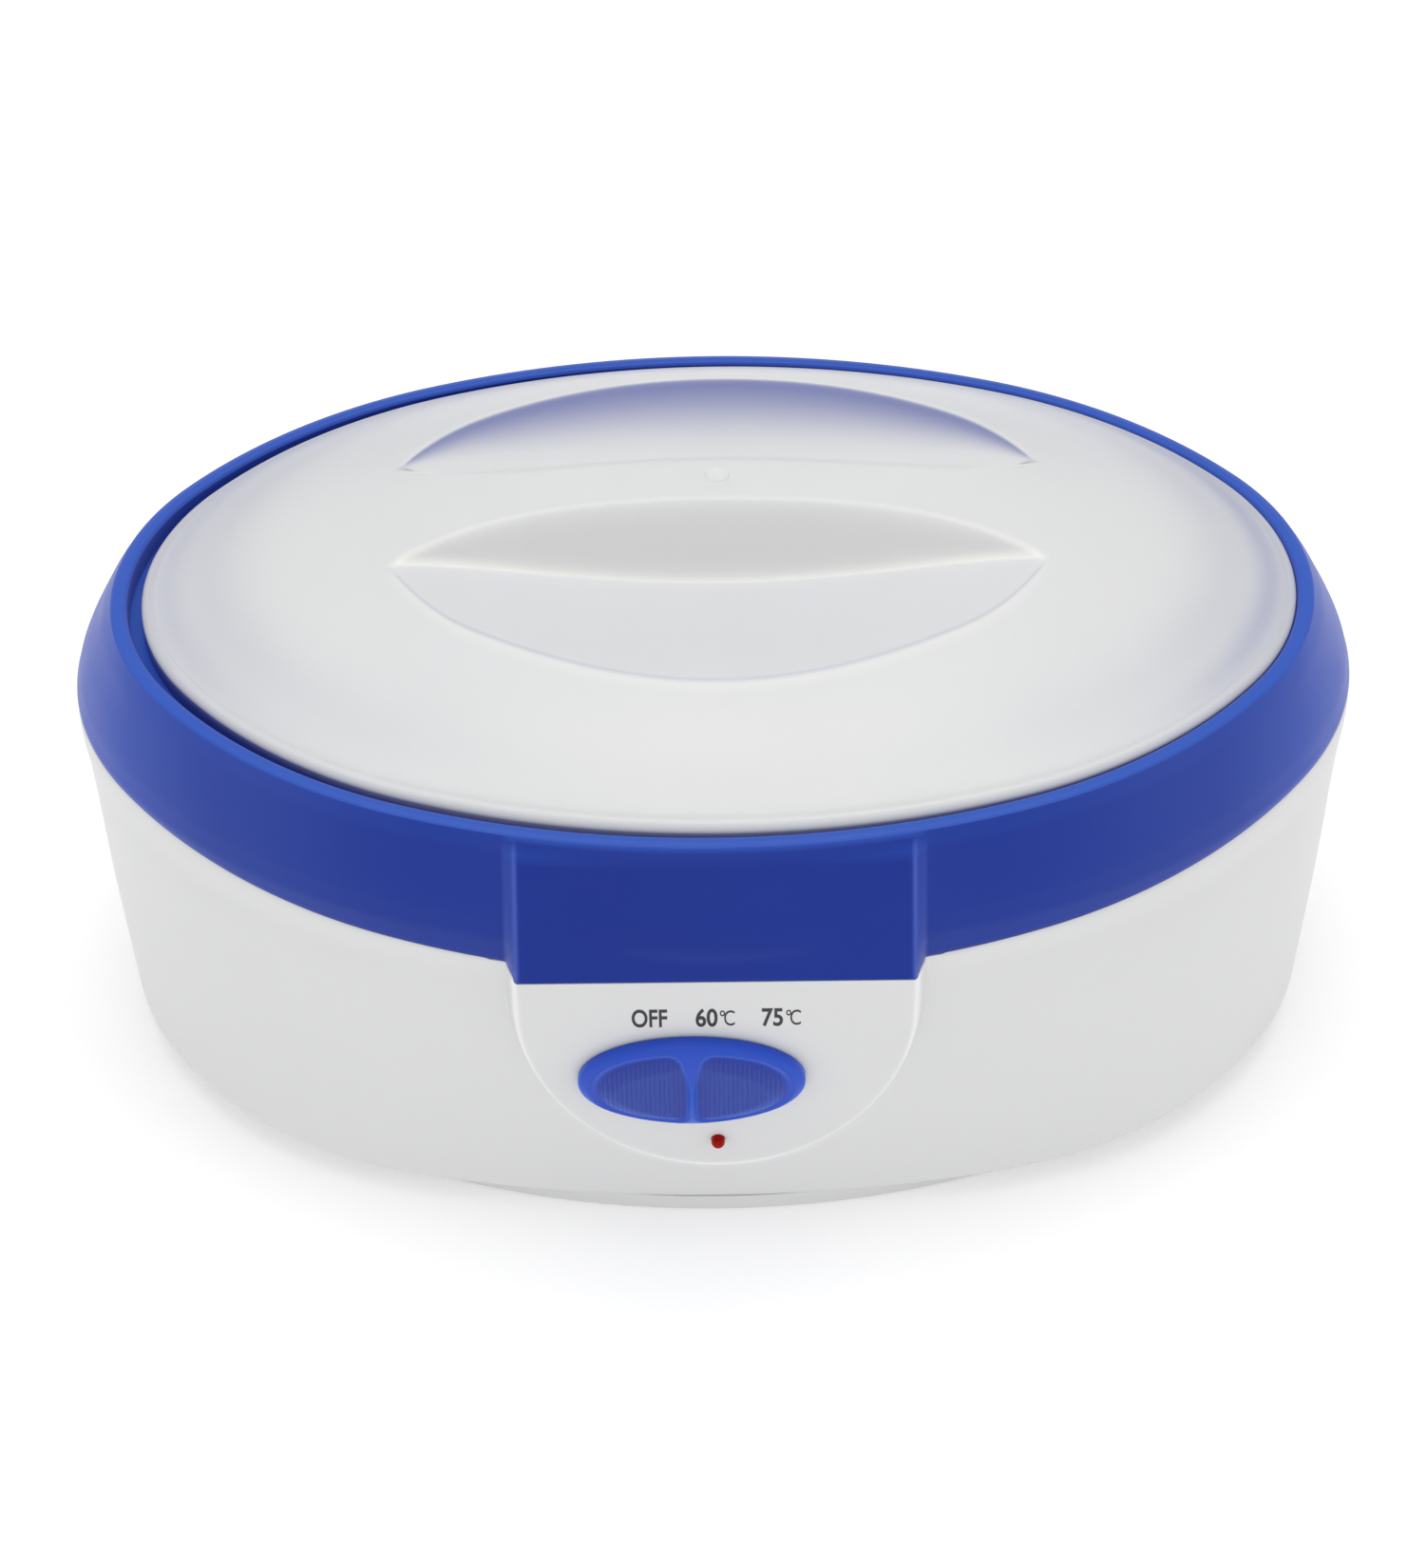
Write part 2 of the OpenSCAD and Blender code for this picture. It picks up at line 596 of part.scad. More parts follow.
module switch_body() color(dark_grey) on_panel(0, knob_y) difference() {
  union() {
    block(-23, 23, -8, 8, -12.6, -4);
    block(-33, 33, -4.5, 4.5, -11.2, -9.2);
  }
  block(-14.6, 14.6, -4.9, 4.9, -11, -6.1);
  block(-10.7, 10.7, -2.4, 2.4, -7, -3);
  for (s = [-1, 1]) translate([s * switch_post_x, 0, 0]) rod(3, -13, -8);
  for (x = switch_tag_xs) block(x - 1.1, x + 1.1, -3.2, 3.2, -14, -10.9);
}
module switch_terminals() color(contact_brass) on_panel(0, knob_y)
  for (x = switch_tag_xs) block(x - 0.5, x + 0.5, -3, 3, -15, -10.95);
module switch_screws() color(steel) at_switch_posts(-11.3) screw(2.2, 8, 5, 1.6);

// ---- Pilot lamp ----
module lamp_lens() color([0.8, 0.05, 0.04]) on_panel(0, lamp_y) {
  rod(lamp_d, -3.2, 0.5);
  intersection() {
    translate([0, 0, -1.3]) sphere(d = lamp_d + 1.1, $fn = 48);
    rod(lamp_d, 0.4, 3);
  }
  rod(7.6, -4, -wall - 0.1);
}
module lamp_body() color([0.92, 0.92, 0.9]) on_panel(0, lamp_y) {
  rod(6.4, -15, -4.1);
  rod(8, -6, -4.1);
}
module lamp_clip() color(clip_steel) on_panel(0, lamp_y) difference() {
  union() {
    tube(12, 6.6, -6.9, -6.2);
    block_pair(5, 7, -2, 2, -6.9, -6.2);
  }
  rod(6.6, -9, -5);
}
module lamp_leads() color([0.8, 0.1, 0.1]) for (s = [-1, 1])
  wire([[s * 1.6, -107.4, 31.8], [s * 1.6, -98, 30.6], [s * 6, -82, 12],
    [s * 9, 0, 10 + s], [s * 13, 40, 12], [s * 13, 53.2, 12]], 1.6);

// ---- Mains side ----
way_xs = [-15, -5, 5, 15];     // the four ways of the terminal block
way_screw_ys = [58, 66];
bore_z = 14.5;                 // height of the terminal bores
entry_z = 22;                  // height of the cord through the back wall
module on_cord_axis() translate([0, 0, entry_z]) along_y() children();

module terminal_block() color([0.9, 0.89, 0.82]) difference() {
  union() {
    block(-24, 24, 55, 69, 9.2, 11.2);
    for (x = way_xs) block(x - 4.4, x + 4.4, 54, 70, 11, 20);
    block(-19, 19, 57, 67, 11, 18);
  }
  at_pair(block_post) rod(2.8, 8, 30);
  for (x = way_xs) {
    translate([x, 53, bore_z]) along_y() cylinder(d = 4, h = 20);
    for (y = way_screw_ys) translate([x, y, 0]) rod(3.4, 14, 22);
  }
}
module terminal_screws() color(screw_brass) for (x = way_xs, y = way_screw_ys)
  translate([x, y, 0]) rod(3, 16.6, 19.6);
module cord_clamp() color(soft_grey) difference() {
  union() {
    block(-16, 16, 88.5, 95.5, 18.6, 21.4);
    on_cord_axis() rod(cord_d + 5.4, 88.5, 95.5);
  }
  on_cord_axis() rod(cord_d + 0.3, 80, 110);
  at_pair(clamp_post) rod(3, 10, 40);
  block(-8, 8, 80, 100, 10, 18.6);
  block(-3.4, 3.4, 80, 100, 10, 22);
}
module clamp_screws() color(steel) at_pair(clamp_post, 21.5) screw_down(2.2, 12, 4.8, 1.6);
module cord_grommet() color(cord_black) on_cord_axis() difference() {
  union() {
    // neck in the wall, with a flange on either side
    rod(12, 117, 126);
    rod(15.4, 124.4, 127.4);
    rod(15.4, 113, 117.2);
    // ribbed tapering sleeve
    translate([0, 0, 127.3]) cylinder(d1 = 12, d2 = 9.4, h = 16);
    for (i = [0:3]) rod(11.8 - i * 0.6, 129 + i * 3.6, 130.6 + i * 3.6);
  }
  rod(cord_d + 0.2, 100, 160);
}

// The cord drops behind the grommet and lies folded behind the body.
lying_z = cord_d / 2 + 0.1;    // cord axis where it lies on the table
fold_r = 7;
fold_x = 70;                   // the folds turn at plus and minus this
lying_y = 158;                 // first run on the table
last_y = lying_y + fold_r * 6; // last run, which ends in the plug
module cord_run(x, y, length) translate([x, y, lying_z]) along_x()
  cylinder(d = cord_d, h = length);
module mains_cord() color(cord_black) {
  drop = (entry_z - lying_z) / 2;
  bend_y = lying_y - drop;
  on_cord_axis() rod(cord_d, 74, bend_y);
  translate([0, bend_y, entry_z - drop]) along_x() elbow(drop, 90, 90);
  translate([drop, lying_y, entry_z - drop]) rotate([90, 0, 0]) elbow(drop, 180, 90);
  cord_run(drop, lying_y, fold_x - drop);
  for (i = [0:2])
    translate([i % 2 == 0 ? fold_x : -fold_x, lying_y + fold_r * (2 * i + 1), lying_z])
      elbow(fold_r, i % 2 == 0 ? 270 : 90, 180);
  for (i = [1:3]) cord_run(-fold_x, lying_y + fold_r * 2 * i, fold_x * 2);
  cord_run(-85, last_y, 15.5);
}

// Right-angle plug lying on its back, pins up.
plug_place = [-103, last_y, 0];
module plug_body() color(cord_black) translate(plug_place) difference() {
  union() {
    translate([0, 0, 0.2]) cylinder(d = 38, h = 13.8);
    translate([0, 0, 13.9]) cylinder(d1 = 38, d2 = 35, h = 2);
    // ribbed neck towards the cord
    for (i = [0:3])
      block(12 + i * 4, 14.6 + i * 4, -5.4 + i * 0.4, 5.4 - i * 0.4, 0.2, 8.8 - i * 0.5);
    block(12, 27.6, -4.1, 4.1, 0.2, 7.2);
  }
  translate([16, 0, lying_z]) along_x() cylinder(d = cord_d + 0.2, h = 20);
  for (a = [0, 120, 240]) rotate([0, 0, a]) block(6.1, 9.9, -1.1, 1.1, 9, 20);
}
module plug_pins() color([0.8, 0.7, 0.4]) translate(plug_place)
  for (a = [0, 120, 240]) rotate([0, 0, a])
    block(6.2, 9.8, -1, 1, 9.1, a == 0 ? 34 : 31);

// ---- Wiring, as paths of [x, y, z] ----
// From the switch to the thermostat on the -X side.
switch_path = [[-4, -107.2, 57], [-4, -98, 48], [-8, -56, 30], [-4, -52, 36],
  [-30, -48, 37], [-35.4, -31.2, 37.7]];
module wire_live() color([0.45, 0.25, 0.12])
  wire([[-15, 73.6, bore_z], [-15, 84, 16], [-34, 84, 24], [-60, 20, 26],
    [-48, -70, 26], [-30, -100, 40], [-12, -107.2, 57]]);
module wire_neutral() color([0.1, 0.25, 0.7])
  wire([[-5, 70.4, bore_z], [-5, 78, 17], [-6, 72, 30], [-7, 64, 38.4], [-31, 27.6, 42]]);
module wire_60() color(lead_white) wire(switch_path);
module wire_75() color([0.9, 0.75, 0.1]) mirror([1, 0, 0]) wire(switch_path);
module heater_leads() color(lead_white) for (s = [-1, 1])
  wire([[s * 5, 103.6, heater_z0 - 0.2], [s * 5, 103.6, 50], [s * 5, 90, 40],
    [s * 2, 66, 38], [s * 2, 66, 27], [s * 15, 46, 18], [s * 15, 46, bore_z],
    [s * 15, 53.6, bore_z]], 2);
module earth_wire() color([0.2, 0.6, 0.2])
  wire([[15, 73.6, bore_z], [17, 81, 22], [33, 79, 23], [36, 66, 16.1]]);
module earth_tag() color(screw_brass) translate(earth_post) difference() {
  union() {
    rod(7, 14.1, 14.9);
    block(-1.4, 1.4, 0, 5, 14.1, 14.9);
  }
  rod(3.2, 10, 20);
}
module earth_screw() color(steel) translate([each earth_post, 15]) screw_down(2.2, 7, 5.4, 1.8);

lid();
upper_ring();
outer_shell();
base_cover();
rubber_feet();
base_screws();
ring_screws();
inner_pot();
pot_nuts();
pot_gasket();
heater_band();
heater_straps();
strap_screws();
insulation();
heat_shield();
shield_screws();
thermostat_60();
thermostat_75();
thermostat_clips();
pot_screws();
thermal_fuse();
fuse_sleeve();
fuse_clip();
switch_knob();
switch_carriage();
switch_contact();
switch_body();
switch_terminals();
switch_screws();
lamp_lens();
lamp_body();
lamp_clip();
lamp_leads();
terminal_block();
terminal_screws();
cord_clamp();
clamp_screws();
cord_grommet();
mains_cord();
plug_body();
plug_pins();
wire_live();
wire_neutral();
wire_60();
wire_75();
heater_leads();
earth_wire();
earth_tag();
earth_screw();
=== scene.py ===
"""Looks of an oval wax warmer: body, lid, slide knob, legends, materials, studio and camera.

Sizes are in millimetres until a mesh is made.  +Z is up and the long axis of the oval runs
along X.  The front, with the control panel under a tab of the blue ring, faces -Y.
"""
import math

import bmesh
import bpy
import numpy as np
from mathutils import Matrix, Vector


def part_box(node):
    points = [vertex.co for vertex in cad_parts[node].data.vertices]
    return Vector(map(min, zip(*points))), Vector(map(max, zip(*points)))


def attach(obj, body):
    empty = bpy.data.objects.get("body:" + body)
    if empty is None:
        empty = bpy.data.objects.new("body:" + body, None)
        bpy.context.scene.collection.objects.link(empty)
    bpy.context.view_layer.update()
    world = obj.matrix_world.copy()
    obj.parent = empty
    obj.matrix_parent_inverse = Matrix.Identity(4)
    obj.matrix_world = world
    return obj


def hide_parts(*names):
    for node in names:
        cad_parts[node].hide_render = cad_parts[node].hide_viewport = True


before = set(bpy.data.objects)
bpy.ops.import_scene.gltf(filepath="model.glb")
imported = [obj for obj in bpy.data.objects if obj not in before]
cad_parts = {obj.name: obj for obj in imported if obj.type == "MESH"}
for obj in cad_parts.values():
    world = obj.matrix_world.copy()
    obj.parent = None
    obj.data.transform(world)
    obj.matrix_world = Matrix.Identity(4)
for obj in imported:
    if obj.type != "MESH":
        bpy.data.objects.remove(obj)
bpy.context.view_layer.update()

MM = 0.001


def box_mm(node):
    low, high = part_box(node)
    return np.array(low) * 1000, np.array(high) * 1000


# ---------------------------------------------------------------- main sizes
ring_low, ring_high = box_mm("upper_ring")
lid_low, lid_high = box_mm("lid")
HALF_WIDTH = (ring_high[0] - ring_low[0]) / 2
HALF_DEPTH = ring_high[1]
LIP_Z = ring_high[2] - 0.5
PANEL_Y = ring_low[1]               # upper edge of the panel, where the tab ends
PANEL_Z = 100.1
LEAN = math.radians(7.41)           # the foot of the panel leans back towards +Y
SEAM_Z, SEAM_DIP = 109.0, 8.6       # ring to shell: height at the ends, drop at front and back
MOUTH = 17.1                        # set-in of the ring's mouth
RING_WALL = 3.5
SHELF_Z = LIP_Z - 9.2
LID_X = (lid_low[0] + lid_high[0]) / 2
LID_INSET = HALF_WIDTH - (lid_high[0] - lid_low[0]) / 2
LID_HALF_WIDTH, LID_HALF_DEPTH = HALF_WIDTH - LID_INSET, HALF_DEPTH - LID_INSET
LID_BASE = lid_low[2]
LID_EDGE = LIP_Z + 0.2
DOME_RISE = lid_high[2] - 0.6 - LID_EDGE
KNOB_X, KNOB_Y = -7.0, -41.2        # in panel coordinates
LAMP_Y = -66.9
RING_POSTS = (20, 62, 118, 160, 212, 328)   # degrees round the oval
RING_POST_INSET = 11.4
BASE_POSTS = (40, 140, 200, 248, 292, 340)
BASE_POST_INSET = 30

# ---------------------------------------------------------------- curves and profiles
# Outward normals where the end arc meets the shoulder arc, and the shoulder the flat arc.
NORMAL_1, NORMAL_2 = (0.8, 0.6), (0.352, 0.936)


def oval_arcs(half_width, half_depth):
    """End, shoulder and flat arc of a quarter oval: (centre x, centre y, radius) each."""
    end = 1.052 * half_depth * half_depth / half_width
    wide, deep = half_width - end, half_depth - end
    u, v = 1 - NORMAL_1[1], 1 - NORMAL_2[1]
    k = NORMAL_1[0] * v - NORMAL_2[0] * u
    # growth in radius from arc to arc, in round steps
    grow_1 = round((wide * v - NORMAL_2[0] * deep) / k / 0.05) * 0.05
    grow_2 = round((NORMAL_1[0] * deep - u * wide) / k / 0.125) * 0.125
    x = NORMAL_1[0] * grow_1 + NORMAL_2[0] * grow_2
    radius = half_width - x
    return ((x, 0, radius),
            (x - grow_1 * NORMAL_1[0], -grow_1 * NORMAL_1[1], radius + grow_1),
            (0, -grow_1 * NORMAL_1[1] - grow_2 * NORMAL_2[1], radius + grow_1 + grow_2))


BODY = oval_arcs(HALF_WIDTH, HALF_DEPTH)
FLAT_Y, FLAT_R = BODY[2][1:]        # the long arc; its centre is mirrored for the front


def oval(arcs, inset, angle):
    """Points of an oval set in by inset, where the outward normal points at angle (radians)."""
    angle, inset = np.broadcast_arrays(np.asarray(angle, float), np.asarray(inset, float))
    cos, sin = np.abs(np.cos(angle)), np.abs(np.sin(angle))
    which = (sin >= NORMAL_1[1]).astype(int) + (sin >= NORMAL_2[1])
    arc = np.array(arcs)[which]
    return np.stack([np.sign(np.cos(angle)) * (arc[..., 0] + (arc[..., 2] - inset) * cos),
                     np.sign(np.sin(angle)) * (arc[..., 1] + (arc[..., 2] - inset) * sin)], -1)


def rise(x, start=0.0, end=1.0):
    """Smooth step from 0 at start to 1 at end."""
    u = np.clip((np.asarray(x, float) - start) / (end - start), 0, 1)
    return u * u * (3 - 2 * u)


def fall(x, start, end):
    return 1 - rise(x, start, end)


def bell(x, centre, width):
    return np.exp(-((x - centre) / width)**2)


def soft_min(a, b, blend):
    h = np.clip(0.5 + 0.5 * (b - a) / blend, 0, 1)
    return b * (1 - h) + a * h - blend * h * (1 - h)


def soft_max(a, b, blend):
    return -soft_min(-a, -b, blend)


def mirrored(values):
    """Rising values from 0, continued to their negatives."""
    return np.concatenate([-values[:0:-1], values])


def spline(points, steps):
    """Catmull-Rom through the points."""
    p = np.array(points, float)
    p = np.vstack([2 * p[0] - p[1], p, 2 * p[-1] - p[-2]])
    out = []
    for i in range(1, len(p) - 2):
        u = np.linspace(0, 1, steps, endpoint=False)[:, None]
        a, b, c, d = p[i - 1:i + 3]
        out.append(0.5 * (2 * b + (c - a) * u + (2 * a - 5 * b + 4 * c - d) * u**2
                          + (3 * b - a - 3 * c + d) * u**3))
    return np.vstack(out + [p[-2][None]])


def rounded(points, steps):
    """Polyline with rounded corners: points are (x, y, radius)."""
    out = []
    for i, (x, y, radius) in enumerate(points):
        corner = np.array([x, y], float)
        if radius <= 0 or i in (0, len(points) - 1):
            out.append(corner)
            continue
        a = np.array(points[i - 1][:2], float) - corner
        b = np.array(points[i + 1][:2], float) - corner
        length_a, length_b = np.linalg.norm(a), np.linalg.norm(b)
        a, b = a / length_a, b / length_b
        half = math.acos(max(-1, min(1, float(a @ b)))) / 2
        cut = min(radius / math.tan(half), length_a * 0.49, length_b * 0.49)
        for u in np.linspace(0, 1, steps + 1):
            out.append((1 - u)**2 * (corner + a * cut) + 2 * u * (1 - u) * corner
                       + u * u * (corner + b * cut))
    return np.array(out)


def lathe(profile, segments, origin, axes=np.eye(3)):
    """A turned piece from (radius, height) points; axes are the 3 rows of its frame."""
    angle = np.linspace(0, 2 * math.pi, segments, endpoint=False)[:, None]
    p = np.array(profile, float)
    points = np.stack([p[None, :, 0] * np.cos(angle), p[None, :, 0] * np.sin(angle),
                       np.repeat(p[None, :, 1], segments, 0)], -1)
    return points @ np.array(axes, float) + np.array(origin, float)


def grid_border(rows, columns):
    """Indices round the edge of a grid."""
    return ([(i, 0) for i in range(rows)] + [(rows - 1, j) for j in range(1, columns)]
            + [(i, columns - 1) for i in range(rows - 2, -1, -1)]
            + [(0, j) for j in range(columns - 2, 0, -1)])


# ---------------------------------------------------------------- mesh building
class Surface:
    """Gathers grids of points in millimetres and turns them into one mesh."""

    def __init__(self):
        self.points, self.faces, self.count = [], [], 0

    def grid(self, points, wrap_u=False, wrap_v=False, flip=False, skip=None):
        points = np.asarray(points, float)
        nu, nv = points.shape[:2]
        self.points.append(points.reshape(-1, 3))
        for i in range(nu if wrap_u else nu - 1):
            for j in range(nv if wrap_v else nv - 1):
                if skip is not None and skip(i, j):
                    continue
                row, next_row = self.count + i * nv, self.count + ((i + 1) % nu) * nv
                next_j = (j + 1) % nv
                quad = [row + j, next_row + j, next_row + next_j, row + next_j]
                self.faces.append(quad[::-1] if flip else quad)
        self.count += nu * nv
        return self

    def mesh(self, name, weld=0.004, angle=40, recalc=True):
        mesh = bpy.data.meshes.new(name)
        mesh.from_pydata((np.vstack(self.points) * MM).tolist(), [], self.faces)
        bm = bmesh.new()
        bm.from_mesh(mesh)
        bmesh.ops.remove_doubles(bm, verts=bm.verts, dist=weld * MM)
        bmesh.ops.dissolve_degenerate(bm, edges=bm.edges, dist=weld * MM * 0.5)
        if recalc:
            bmesh.ops.recalc_face_normals(bm, faces=bm.faces)
        bm.to_mesh(mesh)
        bm.free()
        shade_smooth(mesh, angle)
        return mesh


def shade_smooth(mesh, angle):
    mesh.polygons.foreach_set("use_smooth", [True] * len(mesh.polygons))
    mesh.set_sharp_from_angle(angle=math.radians(angle))
    mesh.update()


def positions(mesh):
    """Vertices in millimetres, one row each."""
    flat = np.empty(len(mesh.vertices) * 3)
    mesh.vertices.foreach_get("co", flat)
    return flat.reshape(-1, 3) / MM


def move_to(mesh, points):
    mesh.vertices.foreach_set("co", (points * MM).ravel())
    mesh.update()


def paint_tone(mesh, tone):
    """Store how far each vertex takes its material's tint."""
    attribute = mesh.attributes.new("tone", "FLOAT", "POINT")
    attribute.data.foreach_set("value", np.clip(tone, 0, 1))


def add_object(name, data):
    obj = bpy.data.objects.new(name, data)
    bpy.context.scene.collection.objects.link(obj)
    return obj


def take_mesh(obj, name):
    """Mesh of obj with its modifiers applied; obj is removed."""
    graph = bpy.context.evaluated_depsgraph_get()
    mesh = bpy.data.meshes.new_from_object(obj.evaluated_get(graph))
    mesh.name = name
    bpy.data.objects.remove(obj)
    return mesh


def place(name, mesh, material, body, replaces=()):
    obj = add_object(name, mesh)
    mesh.materials.append(MATERIALS[material])
    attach(obj, body)
    if replaces:
        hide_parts(*replaces)


# ---------------------------------------------------------------- shader helpers
MATERIALS = {}


class Shader:
    """A new material, kept in MATERIALS, with short ways to add nodes."""

    def __init__(self, name):
        material = bpy.data.materials.new(name)
        material.use_nodes = True
        self.tree = material.node_tree
        self.bsdf = self.tree.nodes["Principled BSDF"]
        self.normal = None
        MATERIALS[name] = material

    def link(self, source, target):
        self.tree.links.new(source, target)

    def put(self, node, **inputs):
        """Link or set inputs by name, with _ for each space."""
        for name, value in inputs.items():
            socket = node.inputs[name.replace("_", " ")]
            if isinstance(value, bpy.types.NodeSocket):
                self.link(value, socket)
            else:
                socket.default_value = (*value, 1) if socket.type == "RGBA" else value

    def surface(self, **inputs):
        self.put(self.bsdf, **inputs)

    def node(self, kind, **inputs):
        node = self.tree.nodes.new("ShaderNode" + kind)
        self.put(node, **inputs)
        return node

    def coords(self, scale=(1, 1, 1)):
        source = self.node("TexCoord").outputs["Object"]
        return self.node("Mapping", Scale=scale, Vector=source).outputs["Vector"]

    def noise(self, vector, scale, detail=3.0, rough=0.5):
        return self.node("TexNoise", Scale=scale, Detail=detail, Roughness=rough,
                         Vector=vector).outputs["Fac"]

    def attribute(self, name, output):
        node = self.node("Attribute")
        node.attribute_name = name
        return node.outputs[output]

    def ramp(self, factor, dark, light, start=0.3, end=0.7):
        node = self.node("ValToRGB", Fac=factor)
        stops = ((start, dark), (end, light))
        for element, (position, colour) in zip(node.color_ramp.elements, stops):
            element.position = position
            element.color = (*colour, 1)
        return node.outputs["Color"]

    def span(self, factor, low, high, start=0.3, end=0.7):
        """Carry start..end over to low..high."""
        return self.node("MapRange", From_Min=start, From_Max=end, To_Min=low, To_Max=high,
                         Value=factor).outputs["Result"]

    def mixed(self, factor, base, colour):
        """Mix from socket base towards a fixed colour."""
        node = self.node("Mix")
        node.data_type = "RGBA"
        self.link(factor, node.inputs["Factor"])
        self.link(base, node.inputs[6])     # 6 and 7 are the colour sockets A and B
        node.inputs[7].default_value = (*colour, 1)
        return node.outputs[2]

    def multiply(self, a, b):
        node = self.node("Math")
        node.operation = "MULTIPLY"
        self.link(a, node.inputs[0])
        self.link(b, node.inputs[1])
        return node.outputs[0]

    def bump(self, height, depth, strength):
        """Lay a bump, depth in mm, over those already there."""
        node = self.node("Bump", Strength=strength, Distance=depth * MM, Height=height)
        if self.normal is not None:
            self.put(node, Normal=self.normal)
        self.normal = node.outputs["Normal"]
        self.surface(Normal=self.normal)

    def see_through(self, factor, colour=(1, 1, 1)):
        """Swap the surface for a transparent one where factor is 1."""
        clear = self.node("BsdfTransparent", Color=colour)
        node = self.node("MixShader", Fac=factor)
        self.link(self.bsdf.outputs["BSDF"], node.inputs[1])
        self.link(clear.outputs["BSDF"], node.inputs[2])
        self.put(self.tree.nodes["Material Output"], Surface=node.outputs["Shader"])


def srgb(*channels):
    """Linear colour from 0-255 channels."""
    return tuple((c / 255 / 12.92) if c / 255 <= 0.04045 else ((c / 255 + 0.055) / 1.055)**2.4
                 for c in channels)


def scaled(colour, factor, add=0.0):
    return tuple(min(1, c * factor + add) for c in colour)


# ---------------------------------------------------------------- kinds of material
def plastic(name, colour, rough=0.35, grain=0.012, vary=0.05, spec=0.5, scuff=0.06, wear=True,
            tint=None, painted_top_light=None, rim=None):
    """Moulded plastic: slow tone drift, fine spark-eroded grain (mm) and faint scuffs.

    wear: edges a touch lighter; tint: colour mixed in by the attribute `tone` (colour and painted
    light);
    the up-facing colour is painted light from above; rim: a painted sheen taken at a glancing
    angle.
    """
    s = Shader(name)
    vector = s.coords()
    drift = s.noise(vector, scale=9, rough=0.55)
    base = s.ramp(drift, scaled(colour, 1 - vary), scaled(colour, 1 + vary))
    if wear:
        edges = s.node("NewGeometry").outputs["Pointiness"]
        edges = s.span(edges, 0, 1, start=0.53, end=0.62)
        base = s.mixed(edges, base, scaled(colour, 1.18, add=0.02))
    # the vertex tint carries colour as well as painted highlights and painted shade
    if tint is not None:
        base = s.mixed(s.attribute("tone", "Fac"), base, tint)
    # painted light from above: faces that look up are mixed towards a paler colour
    if painted_top_light is not None:
        normal = s.node("NewGeometry").outputs["Normal"]
        height = s.node("SeparateXYZ", Vector=normal).outputs["Z"]
        factor = s.span(height, 0, painted_top_light["amount"], start=painted_top_light["start"], end=painted_top_light["end"])
        base = s.mixed(factor, base, painted_top_light["colour"])
    # painted sheen: a paler colour at a glancing angle stands in for reflection
    if rim is not None:
        facing = s.node("LayerWeight", Blend=rim["blend"]).outputs["Facing"]
        base = s.mixed(s.span(facing, 0, rim["amount"], start=0.35, end=1.0), base,
                       rim["colour"])
    scuffs = s.noise(s.coords((1, 1, 2.5)), scale=60, detail=6, rough=0.7)
    s.surface(Base_Color=base, Specular_IOR_Level=spec, Coat_Roughness=0.2,
              Roughness=s.span(scuffs, rough - scuff * 0.4, rough + scuff, start=0.35, end=0.75))
    s.bump(s.noise(vector, scale=26, detail=2), depth=0.06, strength=0.25)
    s.bump(s.noise(vector, scale=2600, detail=2), depth=grain, strength=0.6)


def metal(name, colour, rough=0.3, brush=(1, 1, 1), depth=0.01):
    """Plated or drawn metal: brushed along one direction, with a drift of tarnish."""
    s = Shader(name)
    lines = s.noise(s.coords(brush), scale=400, detail=4, rough=0.6)
    drift = s.noise(s.coords(), scale=14, detail=4, rough=0.6)
    s.surface(Base_Color=s.ramp(drift, scaled(colour, 0.92), colour), Metallic=1.0,
              Roughness=s.span(lines, rough * 0.75, rough * 1.3))
    s.bump(drift, depth=0.12, strength=0.12)
    s.bump(lines, depth=depth, strength=0.6)


def woven(name, colour, scale, rough):
    """Braided or felted fibre."""
    s = Shader(name)
    vector = s.coords()
    wave = s.node("TexWave", Scale=scale, Distortion=3.0, Vector=vector)
    wave.bands_direction = "DIAGONAL"
    fibres = s.noise(vector, scale=300, detail=5, rough=0.7)
    weave = s.multiply(wave.outputs["Fac"], fibres)
    s.surface(Base_Color=s.ramp(weave, scaled(colour, 0.82), colour, start=0.1, end=0.6),
              Roughness=rough, Sheen_Weight=0.3)
    s.bump(weave, depth=0.25, strength=0.6)


def rubber(name, colour=(0.02, 0.02, 0.022), rough=0.55, fine=1500, grain=0.03):
    """Dusty rubber; fine is the scale of its grain and grain the depth in mm."""
    s = Shader(name)
    vector = s.coords()
    dust = s.noise(vector, scale=45, detail=6, rough=0.7)
    dusty = scaled(colour, 1.9, add=0.012)
    s.surface(Base_Color=s.ramp(dust, colour, dusty, start=0.35, end=0.8),
              Roughness=s.span(dust, rough - 0.08, rough + 0.15))
    s.bump(s.noise(vector, scale=fine), depth=grain, strength=0.6)


def pot_material():
    """Spun aluminium: roughness and bump follow oval rings round the pot."""
    s = Shader("pot_aluminium")
    length = s.node("VectorMath")
    length.operation = "LENGTH"
    # the half axes of the pot, in metres, scale its oval to a circle
    s.link(s.coords((1 / 0.156, 1 / 0.102, 0.0)), length.inputs[0])
    along = s.node("CombineXYZ", X=length.outputs["Value"]).outputs["Vector"]
    rings = s.noise(along, scale=160, detail=4, rough=0.65)
    drift = s.noise(s.coords(), scale=11, detail=4, rough=0.6)
    fine = s.noise(s.coords(), scale=1500, detail=2)
    s.surface(Base_Color=s.ramp(drift, (0.66, 0.665, 0.67), (0.76, 0.765, 0.77)), Metallic=0.9,
              Roughness=s.span(rings, 0.3, 0.42))
    s.bump(rings, depth=0.02, strength=0.5)
    s.bump(fine, depth=0.006, strength=0.4)


